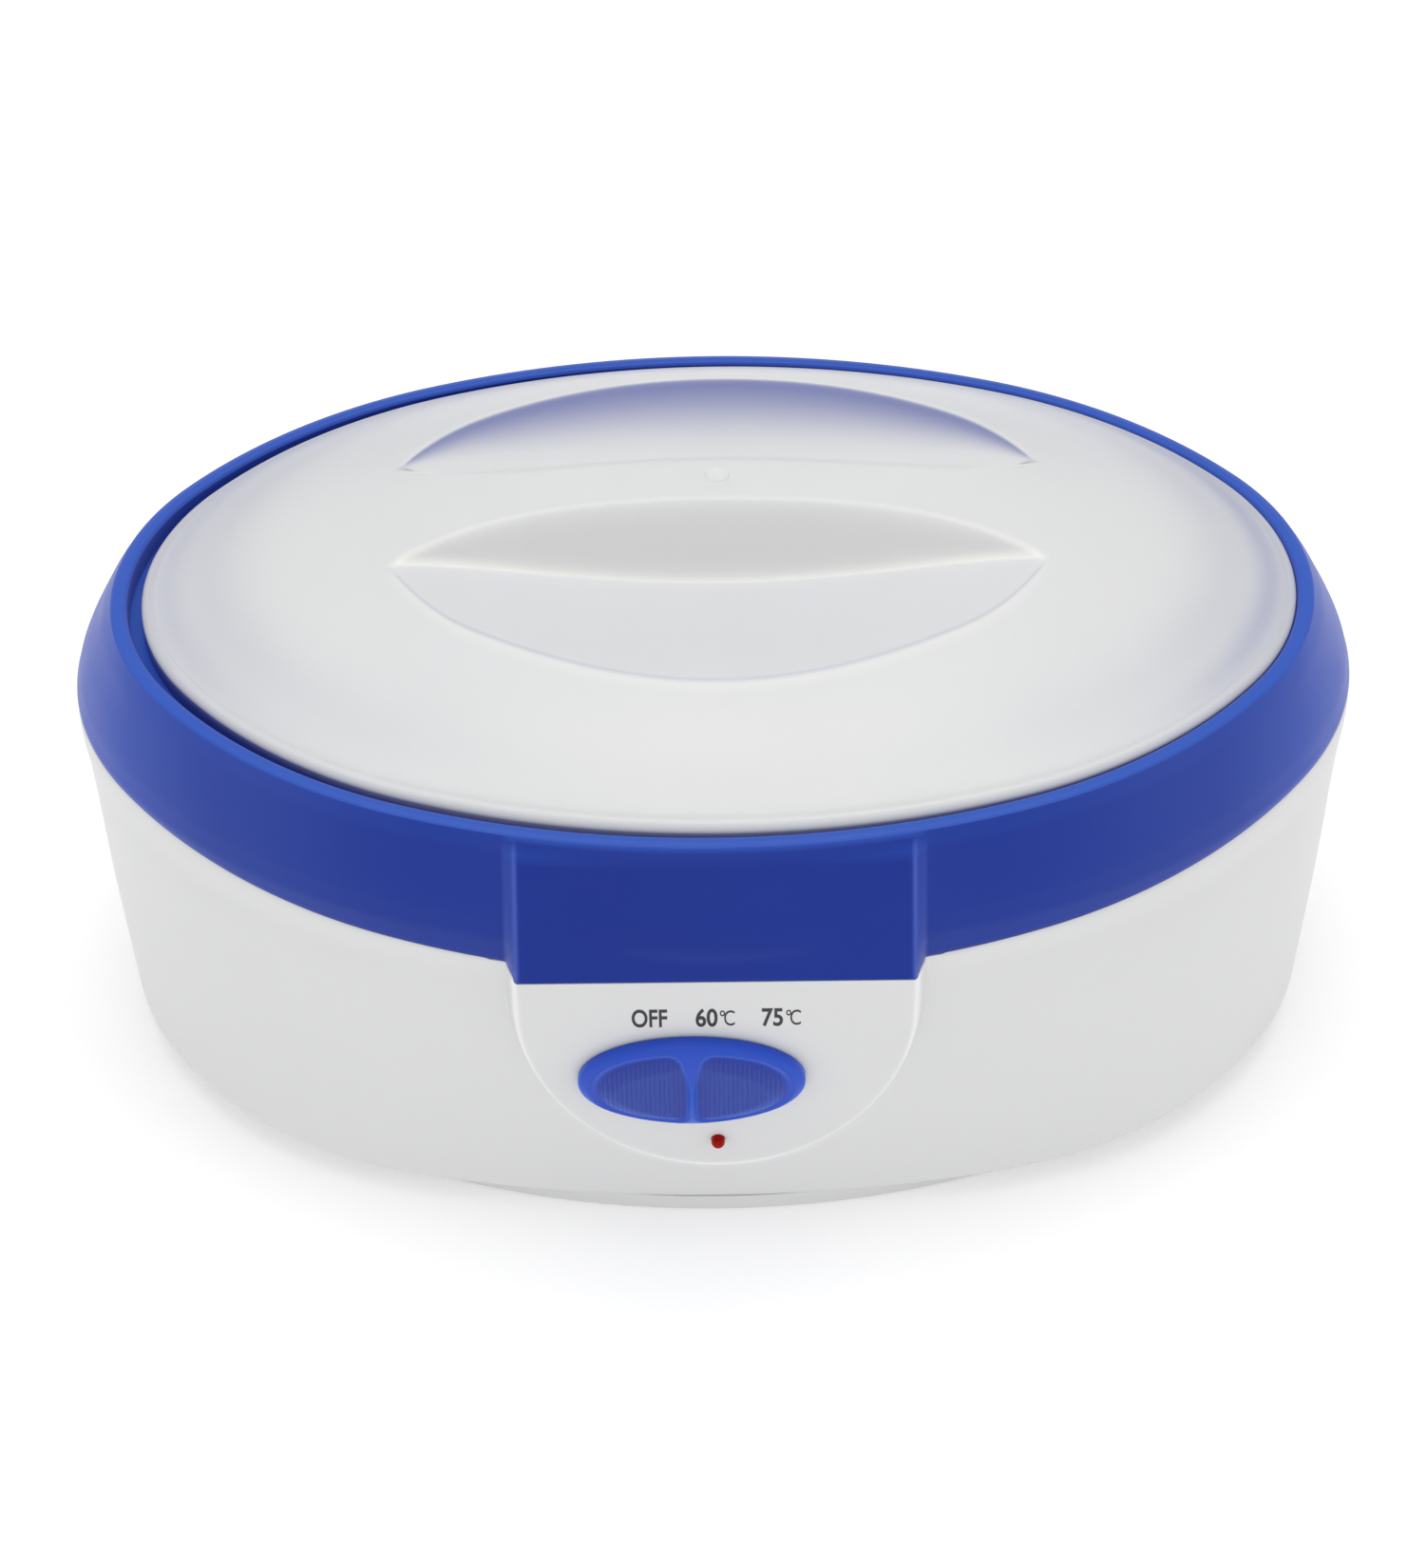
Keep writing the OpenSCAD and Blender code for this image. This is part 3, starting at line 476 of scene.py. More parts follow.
def lid_material():
    """Frosted, slightly see-through moulding that lets light through to the bath."""
    s = Shader("lid_frosted")
    vector = s.coords()
    tone = s.ramp(s.noise(vector, scale=7), (0.83, 0.835, 0.84), (0.87, 0.872, 0.872))
    # painted light from the vertex colours: red mixes in the ring's blue seen through the lid,
    # green painted shade, blue a painted highlight
    painted_light = s.node("SeparateColor", Color=s.attribute("painted_light", "Color"))
    tone = s.mixed(painted_light.outputs["Red"], tone, srgb(50, 74, 172))
    tone = s.mixed(painted_light.outputs["Green"], tone, srgb(124, 124, 116))
    tone = s.mixed(painted_light.outputs["Blue"], tone, (1.0, 1.0, 0.955))
    scuffs = s.noise(vector, scale=55, detail=6, rough=0.7)
    s.surface(Base_Color=tone, Roughness=s.span(scuffs, 0.30, 0.40, start=0.35, end=0.75),
              Transmission_Weight=0.3, IOR=1.3, Specular_IOR_Level=0.6)
    s.bump(s.noise(vector, scale=20, detail=2), depth=0.05, strength=0.25)
    s.bump(s.noise(vector, scale=2400, detail=2), depth=0.01, strength=0.6)
    s.see_through(s.node("LightPath").outputs["Is Shadow Ray"], colour=(0.78, 0.78, 0.79))


def lamp_material():
    s = Shader("lamp_red")
    specks = s.noise(s.coords(), scale=700)
    s.surface(Base_Color=s.ramp(specks, (0.30, 0.0008, 0.0008), (0.40, 0.0014, 0.0012)),
              Roughness=0.22, Specular_IOR_Level=0.12, IOR=1.5)
    s.bump(specks, depth=0.01, strength=0.3)


def ink_material():
    s = Shader("legend_ink")
    specks = s.noise(s.coords(), scale=1500, rough=0.6)
    s.surface(Base_Color=s.ramp(specks, (0.012, 0.012, 0.014), (0.035, 0.035, 0.04), end=0.75),
              Roughness=s.span(specks, 0.45, 0.6))
    s.bump(specks, depth=0.01, strength=0.4)


# ---------------------------------------------------------------- the materials
# ring_blue: the tint colour is for painted highlights, the up-facing colour is painted top light
# on the lip, the rim colour a painted glancing sheen
plastic("ring_blue", (0.00096, 0.02345, 0.2709), rough=0.42, grain=0.010, vary=0.04, spec=0.26,
        tint=srgb(84, 110, 205),
        painted_top_light=dict(colour=srgb(46, 90, 192), amount=0.85, start=0.5, end=0.95),
        rim=dict(colour=srgb(120, 132, 208), blend=0.35, amount=0.6))
# shell_white: the white tint paints a highlight along the rounded rim of the panel
plastic("shell_white", (0.71, 0.712, 0.714), rough=0.36, grain=0.006, vary=0.012, spec=0.4,
        scuff=0.04, wear=False, tint=(1.0, 1.0, 1.0))
# knob_blue: the dark tint colours the pads and paints shade between their ribs and round their
# step; the rim colour is a painted glancing sheen
plastic("knob_blue", srgb(18, 70, 192), rough=0.38, grain=0.004, spec=0.4, wear=False,
        tint=srgb(10, 40, 140), rim=dict(colour=srgb(20, 120, 240), blend=0.4, amount=0.7))
rubber("foot_rubber")
metal("screw_steel", (0.62, 0.62, 0.6), depth=0.006)
rubber("gasket_silicone", (0.42, 0.09, 0.05), rough=0.5)
woven("heater_mica", (0.36, 0.24, 0.11), scale=300, rough=0.6)
metal("sheet_steel", (0.6, 0.61, 0.62), rough=0.33, brush=(1, 14, 1))
woven("insulation_felt", (0.75, 0.72, 0.62), scale=240, rough=0.95)
metal("shield_aluminium", (0.78, 0.79, 0.8), rough=0.28, brush=(1, 18, 1))
plastic("thermostat_ceramic", (0.62, 0.56, 0.45), rough=0.65, grain=0.03, vary=0.1)
metal("fuse_metal", (0.6, 0.52, 0.34))
woven("sleeve_white", (0.78, 0.77, 0.72), scale=1200, rough=0.8)
plastic("switch_black", (0.018, 0.018, 0.02), rough=0.42, grain=0.02, vary=0.2)
metal("contact_brass", (0.72, 0.52, 0.22), rough=0.28)
plastic("block_ivory", (0.72, 0.7, 0.6), rough=0.45, grain=0.01, vary=0.06)
rubber("cord_black", (0.018, 0.018, 0.019), rough=0.42, fine=1800, grain=0.02)
WIRE_COLOURS = {"red": (0.5, 0.02, 0.015), "brown": (0.16, 0.06, 0.025),
                "blue": (0.02, 0.07, 0.4), "yellow": (0.75, 0.5, 0.03),
                "green": (0.03, 0.3, 0.06)}
for wire, wire_colour in WIRE_COLOURS.items():
    plastic("wire_" + wire, wire_colour, rough=0.45, grain=0.01, vary=0.1)
pot_material()
lid_material()
lamp_material()
ink_material()

# Every CAD node carries the material of its slot.
SLOTS = {
    "lid_frosted": ["lid"],
    "ring_blue": ["upper_ring"],
    "shell_white": ["outer_shell", "base_cover"],
    "foot_rubber": ["rubber_feet"],
    "screw_steel": ["base_screws", "ring_screws", "pot_nuts", "strap_screws", "shield_screws",
                    "pot_screws", "switch_screws", "clamp_screws", "earth_screw"],
    "pot_aluminium": ["inner_pot"],
    "gasket_silicone": ["pot_gasket"],
    "heater_mica": ["heater_band"],
    "sheet_steel": ["heater_straps", "thermostat_clips", "fuse_clip", "lamp_clip"],
    "insulation_felt": ["insulation"],
    "shield_aluminium": ["heat_shield"],
    "thermostat_ceramic": ["thermostat_60", "thermostat_75"],
    "fuse_metal": ["thermal_fuse"],
    "sleeve_white": ["fuse_sleeve", "lamp_body", "wire_60", "heater_leads"],
    "knob_blue": ["switch_knob"],
    "switch_black": ["switch_carriage", "switch_body", "cord_clamp"],
    "contact_brass": ["switch_contact", "switch_terminals", "terminal_screws", "plug_pins",
                      "earth_tag"],
    "lamp_red": ["lamp_lens"],
    "wire_red": ["lamp_leads"],
    "block_ivory": ["terminal_block"],
    "cord_black": ["cord_grommet", "mains_cord", "plug_body"],
    "wire_brown": ["wire_live"],
    "wire_blue": ["wire_neutral"],
    "wire_yellow": ["wire_75"],
    "wire_green": ["earth_wire"],
}
for slot_name, node_names in SLOTS.items():
    for node_name in node_names:
        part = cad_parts[node_name]
        if not part.material_slots:
            part.data.materials.append(MATERIALS[slot_name])
        for part_slot in part.material_slots:
            part_slot.material = MATERIALS[slot_name]


# ---------------------------------------------------------------- columns round the body
# x of the columns across the front, closest at the sides of the tab
FRONT_X = mirrored(np.array([
    0, 6, 12, 18, 24, 30, 36, 41, 45, 48, 50, 51.4, 52.4, 53.0, 53.5, 54.0, 54.5, 55.0, 55.5,
    56.0, 56.5, 57.0, 57.6, 58.4, 59.6, 62.0]))
front_angle = math.acos(FRONT_X[-1] / FLAT_R)
COLUMN_ANGLES = np.concatenate([
    -np.arccos(FRONT_X / FLAT_R),
    np.arange(-front_angle + math.radians(0.9), math.pi + front_angle - math.radians(0.4),
              math.radians(1.25))])


def column(inset):
    """Plan points of every column for its insets.  Near the tab the columns run straight up."""
    inset = np.atleast_1d(inset) * np.ones((len(COLUMN_ANGLES), 1))
    angle = COLUMN_ANGLES[:, None] * np.ones_like(inset)
    points = oval(BODY, inset, angle)
    edge_x = FLAT_R * np.cos(angle)
    front = (np.sin(angle) < -0.9) & (np.abs(edge_x) < 88)
    follow = rise(np.abs(edge_x), 62, 88)
    x = edge_x * (1 - follow * inset / FLAT_R)
    y = -(FLAT_Y + np.sqrt(np.maximum((FLAT_R - inset)**2 - x**2, 1)))
    points[..., 0] = np.where(front, x, points[..., 0])
    points[..., 1] = np.where(front, y, points[..., 1])
    return points


def tab_share(x):
    """1 across the tab, falling to 0 beyond its sides."""
    ramp = np.clip((56.7 - np.abs(x)) / 3.2, 0, 1)
    return 0.75 * ramp + 0.25 * rise(ramp)


EDGE = column(0.0)[:, 0, :]
SEAMS = SEAM_Z - SEAM_DIP * (EDGE[:, 1] / HALF_DEPTH)**2
TAB = np.where(EDGE[:, 1] < -100, tab_share(EDGE[:, 0]), 0.0)


def panel_to_world(x, y, z=0.0):
    """Panel coordinates (along, up, out) to the body frame."""
    x, y, z = np.broadcast_arrays(*(np.asarray(c, float) for c in (x, y, z)))
    return np.stack([x, PANEL_Y - math.sin(LEAN) * y - math.cos(LEAN) * z,
                     PANEL_Z + math.cos(LEAN) * y - math.sin(LEAN) * z], -1)


# ---------------------------------------------------------------- ring with its tab
WALL_TOP = 133.6
# outer face of the ring, (set-in, z)
RING_OUTER = spline([(0, 109.0), (0.9, 112), (1.8, 115), (3.7, 119.4), (5.7, 123.4),
                     (7.7, 127.2), (9.6, 130.8), (11.4, WALL_TOP)], 4)
# lip, then mouth and shelf down to the inner wall: (set-in, z, corner radius)
RING_LIP = rounded([
    (11.4, WALL_TOP, 0), (12.3, 135.0, 0.5), (13.0, LIP_Z + 0.15, 0.9), (14.6, LIP_Z + 0.5, 2.0),
    (16.2, LIP_Z + 0.3, 1.2), (MOUTH, LIP_Z - 0.5, 0.7), (MOUTH + 0.1, LIP_Z - 3, 0)], 5)[1:]
RING_MOUTH = rounded([
    (MOUTH + 0.1, LIP_Z - 3, 0), (MOUTH + 0.1, LID_BASE + 0.4, 0.5),
    (MOUTH + 4.1, LID_BASE + 0.25, 0.1), (MOUTH + 4.1, LID_BASE - 0.1, 0.1),
    (MOUTH + 0.6, LID_BASE - 0.1, 0.2), (MOUTH + 0.6, SHELF_Z, 0.3), (27, SHELF_Z, 0.4),
    (27, SHELF_Z - 2.4, 0.4), (16.3, SHELF_Z - 2.4, 1.0), (15.7, LIP_Z - 5.6, 1.0),
    (14.0, LIP_Z - 4.6, 0)], 3)[1:]
OUTER_ROWS = 26
EDGE_ROLL = [0.5, 0.13]             # set-in of the two lowest rows
TAB_TOP, TAB_TOP_INSET = 134.2, 12.1
POST_BORE = 1.3


def ring_wall(z):
    return np.interp(z, RING_OUTER[:, 1], RING_OUTER[:, 0])


def ring_section(seam, tab):
    """Closed section of the ring, (set-in, z), in a column with this seam and share of tab."""
    base = (seam + 0.1) * (1 - tab) + PANEL_Z * tab
    outer_z = np.concatenate([[base, base + 0.12, base + 0.5],
                              np.linspace(base + 1.6, WALL_TOP, OUTER_ROWS)])
    outer = ring_wall(outer_z)
    outer[:2] += EDGE_ROLL
    inner_z = np.linspace(LIP_Z - 6.4, base + 3.5, 10)
    # tongue that reaches down behind the shell
    tongue = [(4.9, base + 1.5), (4.9, seam - 11.6), (4.5, seam - 12.2), (3.3, seam - 12.2),
              (2.95, seam - 11.6), (2.9, base)]
    return np.vstack([np.stack([outer, outer_z], 1), RING_LIP, RING_MOUTH,
                      np.stack([ring_wall(inner_z) + RING_WALL, inner_z], 1), tongue])


def build_ring():
    sections = np.array([ring_section(seam, tab) for seam, tab in zip(SEAMS, TAB)])
    points = np.concatenate([column(sections[:, :, 0]), sections[:, :, 1:]], -1)
    # tab: flat between its straight lower edge and the lip
    top_y = column(TAB_TOP_INSET)[:, 0, 1]
    for j, setback in enumerate(EDGE_ROLL + [0] * (OUTER_ROWS + 2)):
        y, z = points[:, j, 1], points[:, j, 2]
        up = np.clip((z - PANEL_Z) / (TAB_TOP - PANEL_Z), 0, 1)
        swell = 1.2 * rise(1 - up, 0, 0.14) * rise(up, 0, 0.5)
        flat = (PANEL_Y + setback) * (1 - up) + top_y * up - swell
        y = np.minimum(y, y * (1 - TAB) + flat * TAB)
        points[:, j, 1] = np.where(EDGE[:, 1] < -100, y, points[:, j, 1])
    surface = Surface().grid(points, wrap_u=True, wrap_v=True)
    # screw posts inside the wall, with their bores
    post = [(POST_BORE, 87.4), (3.7, 87.2), (4.0, 87.6), (4.0, 124.5), (POST_BORE, 124.5),
            (POST_BORE, 110)]
    for degrees in RING_POSTS:
        x, y = oval(BODY, RING_POST_INSET, math.radians(degrees))
        surface.grid(lathe(post, 28, (x, y, 0)), wrap_u=True, wrap_v=True)
    mesh = surface.mesh("ring", angle=50)
    paint_ring(mesh)
    return mesh


def paint_ring(mesh):
    x, y, z = positions(mesh).T
    x = np.abs(x)
    # painted highlight: a bright line down each side of the tab, with a paler slope beside it
    tone = bell(x, 53.4, 0.55) * 0.5 + rise(x, 53.2, 54.0) * fall(x, 56.2, 57.2) * 0.18
    tone *= (y < -90) * rise(z, PANEL_Z - 1, PANEL_Z + 1) * fall(z, 131, 134.5)
    # the band is painted a little paler than the tab, and a painted highlight makes it palest
    # round the ends
    tab = (y < -90) * fall(x, 52.6, 53.6) * fall(z, 132.5, 134.5)
    tone += (0.07 + 0.14 * rise(x, 70, 150) + 0.36 * rise(x, 135, 180)) * (1 - tab)
    paint_tone(mesh, tone)


# ---------------------------------------------------------------- shell with the raised panel
# Outer face as (set-in, z): at the ends, at front and back, and the fullness between them.
SHELL_SIDE = spline([(0, 112), (0, 103.5), (0.3, 99), (1.9, 85), (3.9, 55), (5.7, 35), (7.1, 22),
                     (7.8, 14), (8.3, 9.6), (10.4, 7.0), (13.6, 5.5), (16.6, 5.2)], 6)
SHELL_FRONT = spline([(0, 112), (0, 100.5), (1.0, 97), (2.9, 85), (5.9, 55), (7.9, 35),
                      (9.4, 22), (10.6, 14), (11.4, 9.8), (12.4, 6.7), (13.7, 4.8),
                      (15.6, 3.8), (18, 3.5)], 6)
SHELL_FULL = spline([(0, 112), (0, 100), (0.5, 93), (1.9, 85), (4.2, 55), (6.0, 35), (7.4, 22),
                     (7.9, 14), (7.8, 9), (7.4, 5.2)], 6)
# rows of the shell, as shares of its height
SHELL_ROWS = np.concatenate([[0, 0.0022, 0.006, 0.014, 0.026, 0.042, 0.062],
                             np.linspace(0.09, 0.94, 34), [0.965, 0.982, 0.992, 1.0]])
SHELL_WALL = 2.3
WINDOW_BASE = 15.5                  # z of the foot of the opening left for the panel
# panel outline: straight sides down to PANEL_BEND, half an ellipse below it
PANEL_HALF, PANEL_BEND, PANEL_DROP = 54.2, -13.0, 65.5
PANEL_EDGE_Y = -0.1


def shell_setin(z, side):
    """Set-in of the outer face at height z; side is 1 at the ends and 0 at the front and back.
    Between them the lower body stays fuller than the oval of the rim."""
    ends, front, full = (np.interp(-z, -curve[:, 1], curve[:, 0])
                         for curve in (SHELL_SIDE, SHELL_FRONT, SHELL_FULL))
    return ends * side + front * (1 - side) - 4 * side * (1 - side) * full


def sideness(x, y):
    u, v = (x / HALF_WIDTH)**2, (y / HALF_DEPTH)**2
    return u / (u + v)


def shell_front_y(x, z):
    """y of the outer face of the shell near the front, straight from x and z."""
    inset = shell_setin(z, sideness(x, FLAT_Y + np.sqrt(FLAT_R**2 - x**2)))
    return -(FLAT_Y + np.sqrt((FLAT_R - inset)**2 - x**2))


def shell_grid():
    """Outer face from the bottom flange to the seam, before the window is cut."""
    side = sideness(EDGE[:, :1], EDGE[:, 1:])
    base = 5.2 - 1.7 * (1 - side)**2
    z = base + ((SEAMS - 0.1)[:, None] - base) * SHELL_ROWS[None, :]
    inset = shell_setin(z, side * np.ones_like(z))
    inset[:, 0] = (17.0 * side + 18.0 * (1 - side))[:, 0]
    inset[:, -1] += 0.35
    rows = [np.concatenate([column(flange), base[:, :, None]], -1) for flange in (26.0, 21.0)]
    rows.append(np.concatenate([column(inset), z[..., None]], -1))
    return np.concatenate(rows, 1)


def window_strip(window):
    """Rows from the flat of the panel over its rounded rim out to the loop of the window."""
    y = (window[:, 2] - PANEL_Z) / math.cos(LEAN)
    low = y < PANEL_BEND
    angle = np.arctan2(np.minimum(y - PANEL_BEND, 0) / PANEL_DROP, window[:, 0] / PANEL_HALF)
    angle = np.where(low, angle, np.where(window[:, 0] < 0, -math.pi, 0.0))
    outline_x = PANEL_HALF * np.cos(angle)
    outline_y = np.where(low, PANEL_BEND + PANEL_DROP * np.sin(angle),
                         np.minimum(y, PANEL_EDGE_Y))
    normal_x = np.where(low, np.cos(angle) / PANEL_HALF, np.sign(window[:, 0]))
    normal_y = np.where(low, np.sin(angle) / PANEL_DROP, 0)
    length = np.hypot(normal_x, normal_y)
    normal_x, normal_y = normal_x / length, normal_y / length

    def outline(out):
        return panel_to_world(outline_x + normal_x * out, outline_y + normal_y * out)

    edge = outline(0.0)
    height = np.maximum(shell_front_y(outline_x, edge[:, 2]) - edge[:, 1], 0.4)
    width = 1.1 + 0.27 * height
    strip = [outline(out) for out in (-3.0, -1.6, -1.0)]
    for u in np.linspace(0.06, 1, 15):
        row = outline(-0.9 + u * (width + 0.9))
        keep = 1 - rise(u)
        row[:, 1] = row[:, 1] * keep + shell_front_y(row[:, 0], row[:, 2]) * (1 - keep)
        strip.append(row)
    rim = strip[-1]
    for u in (0.12, 0.3, 0.52, 0.76):
        row = rim * (1 - u) + window * u
        row[:, 1] = shell_front_y(row[:, 0], row[:, 2])
        strip.append(row)
    strip = np.array(strip + [window])
    # outside the panel the first and last ray follow the lower edge of the ring
    for k in (0, -1):
        ray = strip[:, k]
        top = PANEL_Z + (SEAMS[0] - PANEL_Z) * (1 - tab_share(ray[:, 0])) - 0.2
        move = (np.abs(ray[:, 0]) > 54.0) & (ray[:, 2] < top)
        ray[:, 2] = np.where(move, top, ray[:, 2])
        ray[1:-1, 1] = np.where(move[1:-1] & (np.abs(ray[1:-1, 0]) > 56.0),
                                shell_front_y(ray[1:-1, 0], ray[1:-1, 2]), ray[1:-1, 1])
    return strip


def panel_face(inner):
    """Flat of the panel inside the loop, with the slot of the slide and the hole of the lamp."""
    top_line = [panel_to_world(x, PANEL_EDGE_Y) for x in np.linspace(51.2, -51.2, 16)[1:-1]]
    rim = []
    for point in list(inner) + top_line:
        if not rim or np.linalg.norm(point - rim[-1]) > 0.05:
            rim.append(point)
    angle = np.linspace(0, 2 * math.pi, 40, endpoint=False)
    slot_x, slot_y = (half * np.sign(wave) * np.minimum(1, np.abs(wave) * 1.5)
                      for half, wave in ((14.5, np.cos(angle)), (4.0, np.sin(angle))))
    slot = panel_to_world(slot_x, slot_y + KNOB_Y)
    lamp = panel_to_world(2.0 * np.cos(angle), LAMP_Y + 2.0 * np.sin(angle))
    bm = bmesh.new()
    edges = []
    for points in (rim, slot, lamp):
        verts = [bm.verts.new(Vector(point) * MM) for point in points]
        edges += [bm.edges.new((vert, verts[(i + 1) % len(verts)]))
                  for i, vert in enumerate(verts)]
    bmesh.ops.triangle_fill(bm, edges=edges, use_beauty=True, use_dissolve=False)
    mesh = bpy.data.meshes.new("panel_face")
    bm.to_mesh(mesh)
    bm.free()
    return mesh


def shell_skin():
    """Outer face of the shell and its panel, without thickness."""
    points = shell_grid()
    last = len(FRONT_X) - 1
    foot = int(np.argmin(np.abs(points[0, :, 2] - WINDOW_BASE)))
    surface = Surface()
    surface.grid(points, wrap_u=True, skip=lambda i, j: i < last and j >= foot)
    # window loop: down the left column, along the bottom row, up the right column
    window = np.concatenate([points[0, :foot:-1], points[:last + 1, foot],
                             points[last, foot + 1:]])
    strip = window_strip(window)
    surface.grid(strip)
    mesh = surface.mesh("shell_skin", recalc=False)
    bm = bmesh.new()
    bm.from_mesh(mesh)
    bm.from_mesh(panel_face(strip[0]))
    bmesh.ops.remove_doubles(bm, verts=bm.verts, dist=0.01 * MM)
    bmesh.ops.recalc_face_normals(bm, faces=bm.faces)
    # outward normals: the far side of the shell must face +Y
    far = max(bm.faces, key=lambda face: face.calc_center_median().y)
    if far.normal.y < 0:
        bmesh.ops.reverse_faces(bm, faces=bm.faces)
    bm.to_mesh(mesh)
    bm.free()
    return mesh


def add_post(bm, profile, inset, degrees):
    """A turned post with a bore, standing at an angle round the body."""
    x, y = oval(BODY, inset, math.radians(degrees))
    verts = [[bm.verts.new(Vector(point) * MM) for point in row]
             for row in lathe(profile, 28, (x, y, 0))]
    count = len(profile)
    for i, row in enumerate(verts):
        following = verts[(i + 1) % len(verts)]
        for j in range(count):
            k = (j + 1) % count
            bm.faces.new((row[j], following[j], following[k], row[k]))


def build_shell():
    obj = add_object("tmp_shell", shell_skin())
    wall = obj.modifiers.new("wall", "SOLIDIFY")
    wall.thickness = SHELL_WALL * MM
    wall.offset = -1
    wall.use_even_offset = True
    wall.thickness_clamp = 0.9
    mesh = take_mesh(obj, "shell")
    base_post = [(1.5, 5.3), (4.3, 5.3), (4.5, 5.6), (4.5, 26.6), (4.2, 27), (1.5, 27)]
    ring_post = [(1.8, 82), (4.4, 82), (4.4, 86.8), (1.8, 86.8)]
    bm = bmesh.new()
    bm.from_mesh(mesh)
    for degrees in BASE_POSTS:
        add_post(bm, base_post, BASE_POST_INSET, degrees)
    for degrees in RING_POSTS:
        add_post(bm, ring_post, RING_POST_INSET, degrees)
    bm.to_mesh(mesh)
    bm.free()
    shade_smooth(mesh, 50)
    # painted highlight: the rounded rim of the panel is painted paler where it would catch the
    # light
    x, y, z = positions(mesh).T
    up = (z - PANEL_Z) / math.cos(LEAN)
    below = (np.hypot(x / PANEL_HALF, (up - PANEL_BEND) / PANEL_DROP) - 1) * PANEL_HALF
    out = np.where(up < PANEL_BEND, below, np.abs(x) - PANEL_HALF)
    paint_tone(mesh, bell(out, 0.2, 0.9) * (y < -100) * (up < 2) * 0.8)
    return mesh


# ---------------------------------------------------------------- lid
# A dome with a scoop at the front and one at the back of a ridge along X.
SCOOP_X = 91.5                      # half length of the scoops
SCOOP_SLOPE = 2.36                  # fall of the wall beside the ridge
SCOOP_FLOOR_Y = 20.0                # |y| at which floor_z gives the height of the floor
CENTRE_INSET = 8.0                  # set-in of the border between centre and rim
LID_WALL = 2.0
# outer rim with its bead: (set-in, height over the dome)
LID_BEAD = [(CENTRE_INSET, 0), (6.6, 0), (5.4, 0), (4.4, 0), (3.7, -0.02), (3.3, -0.14),
            (3.0, -0.32), (2.75, -0.38), (2.5, -0.28), (2.25, -0.02), (1.9, 0.16), (1.5, 0.22),
            (1.0, 0.16), (0.6, 0.0), (0.25, -0.3), (0.06, -0.7), (0.0, -1.3)]
# skirt that stands in the ring: (set-in, z)
LID_SKIRT = [(0.0, LID_EDGE - 3.0), (0.0, LID_BASE + 0.5), (0.4, LID_BASE), (1.8, LID_BASE),
             (2.2, LID_BASE + 0.5), (2.2, LID_EDGE - 4.0), (2.3, LID_EDGE - 2.6)]
# underside of the rim: (set-in, height over the dome)
LID_UNDER = [(2.8, -2.1), (4.0, -2.05), (CENTRE_INSET, -LID_WALL)]


def dome(x, y):
    return LID_EDGE + DOME_RISE * (1 - (x / LID_HALF_WIDTH)**2 - (y / LID_HALF_DEPTH)**2)


def scoop_inner(x):
    """|y| of the edge of a scoop beside the ridge."""
    return 11.4 + 1.65e-7 * np.minimum(np.abs(x), SCOOP_X)**4


def scoop_outer(x):
    """|y| of the outer edge of a scoop."""
    x = np.minimum(np.abs(x), SCOOP_X)
    return 73.2 - 0.0047 * x**2 - 9.5 * np.clip((x - 66) / 25.5, 0, 1)**2.5


def floor_z(x):
    return 150.6 + 9.2 * (x / SCOOP_X)**2


def lid_z(x, y):
    """Height of the lid's outer face, in its own plan frame."""
    y = np.abs(y)
    base = dome(x, y)
    inner, outer = scoop_inner(x), scoop_outer(x)
    low = floor_z(x)
    floor = low + (dome(x, outer) - low) * (y - SCOOP_FLOOR_Y) / (outer - SCOOP_FLOOR_Y)
    wall = dome(x, inner) - SCOOP_SLOPE * (y - inner)
    tip = base + 1.0 * (np.abs(x) - SCOOP_X)
    scoop = soft_max(soft_max(floor, wall, 3.4), tip, 1.0)
    blend = 0.55 + 4.2 * bell(y, inner, 7.0) * rise(SCOOP_X - np.abs(x), -4, 30)
    return soft_min(base, scoop, blend)


def lid_row(x, half_depth, tip_depth):
    """y of the grid points at x, gathered at the edges of the scoops."""
    shrink = 1.0 if abs(x) <= SCOOP_X else half_depth / tip_depth
    inner, outer = float(scoop_inner(x)) * shrink, float(scoop_outer(x)) * shrink
    foot = (SCOOP_FLOOR_Y + 0.0003 * min(abs(x), SCOOP_X)**2) * shrink
    keys = np.maximum.accumulate([
        0, inner - 4.2 * shrink, inner + 1.0 * shrink,
        max(foot - 2.6 * shrink, inner + 1.4 * shrink),
        max(foot + 2.6 * shrink, inner + 4 * shrink),
        outer - 2.0 * shrink, outer + 2.0 * shrink, half_depth])
    spans = [np.linspace(keys[i], keys[i + 1], steps, endpoint=False)
             for i, steps in enumerate((5, 8, 5, 8, 10, 8, 12))]
    return mirrored(np.concatenate(spans + [[half_depth]]))


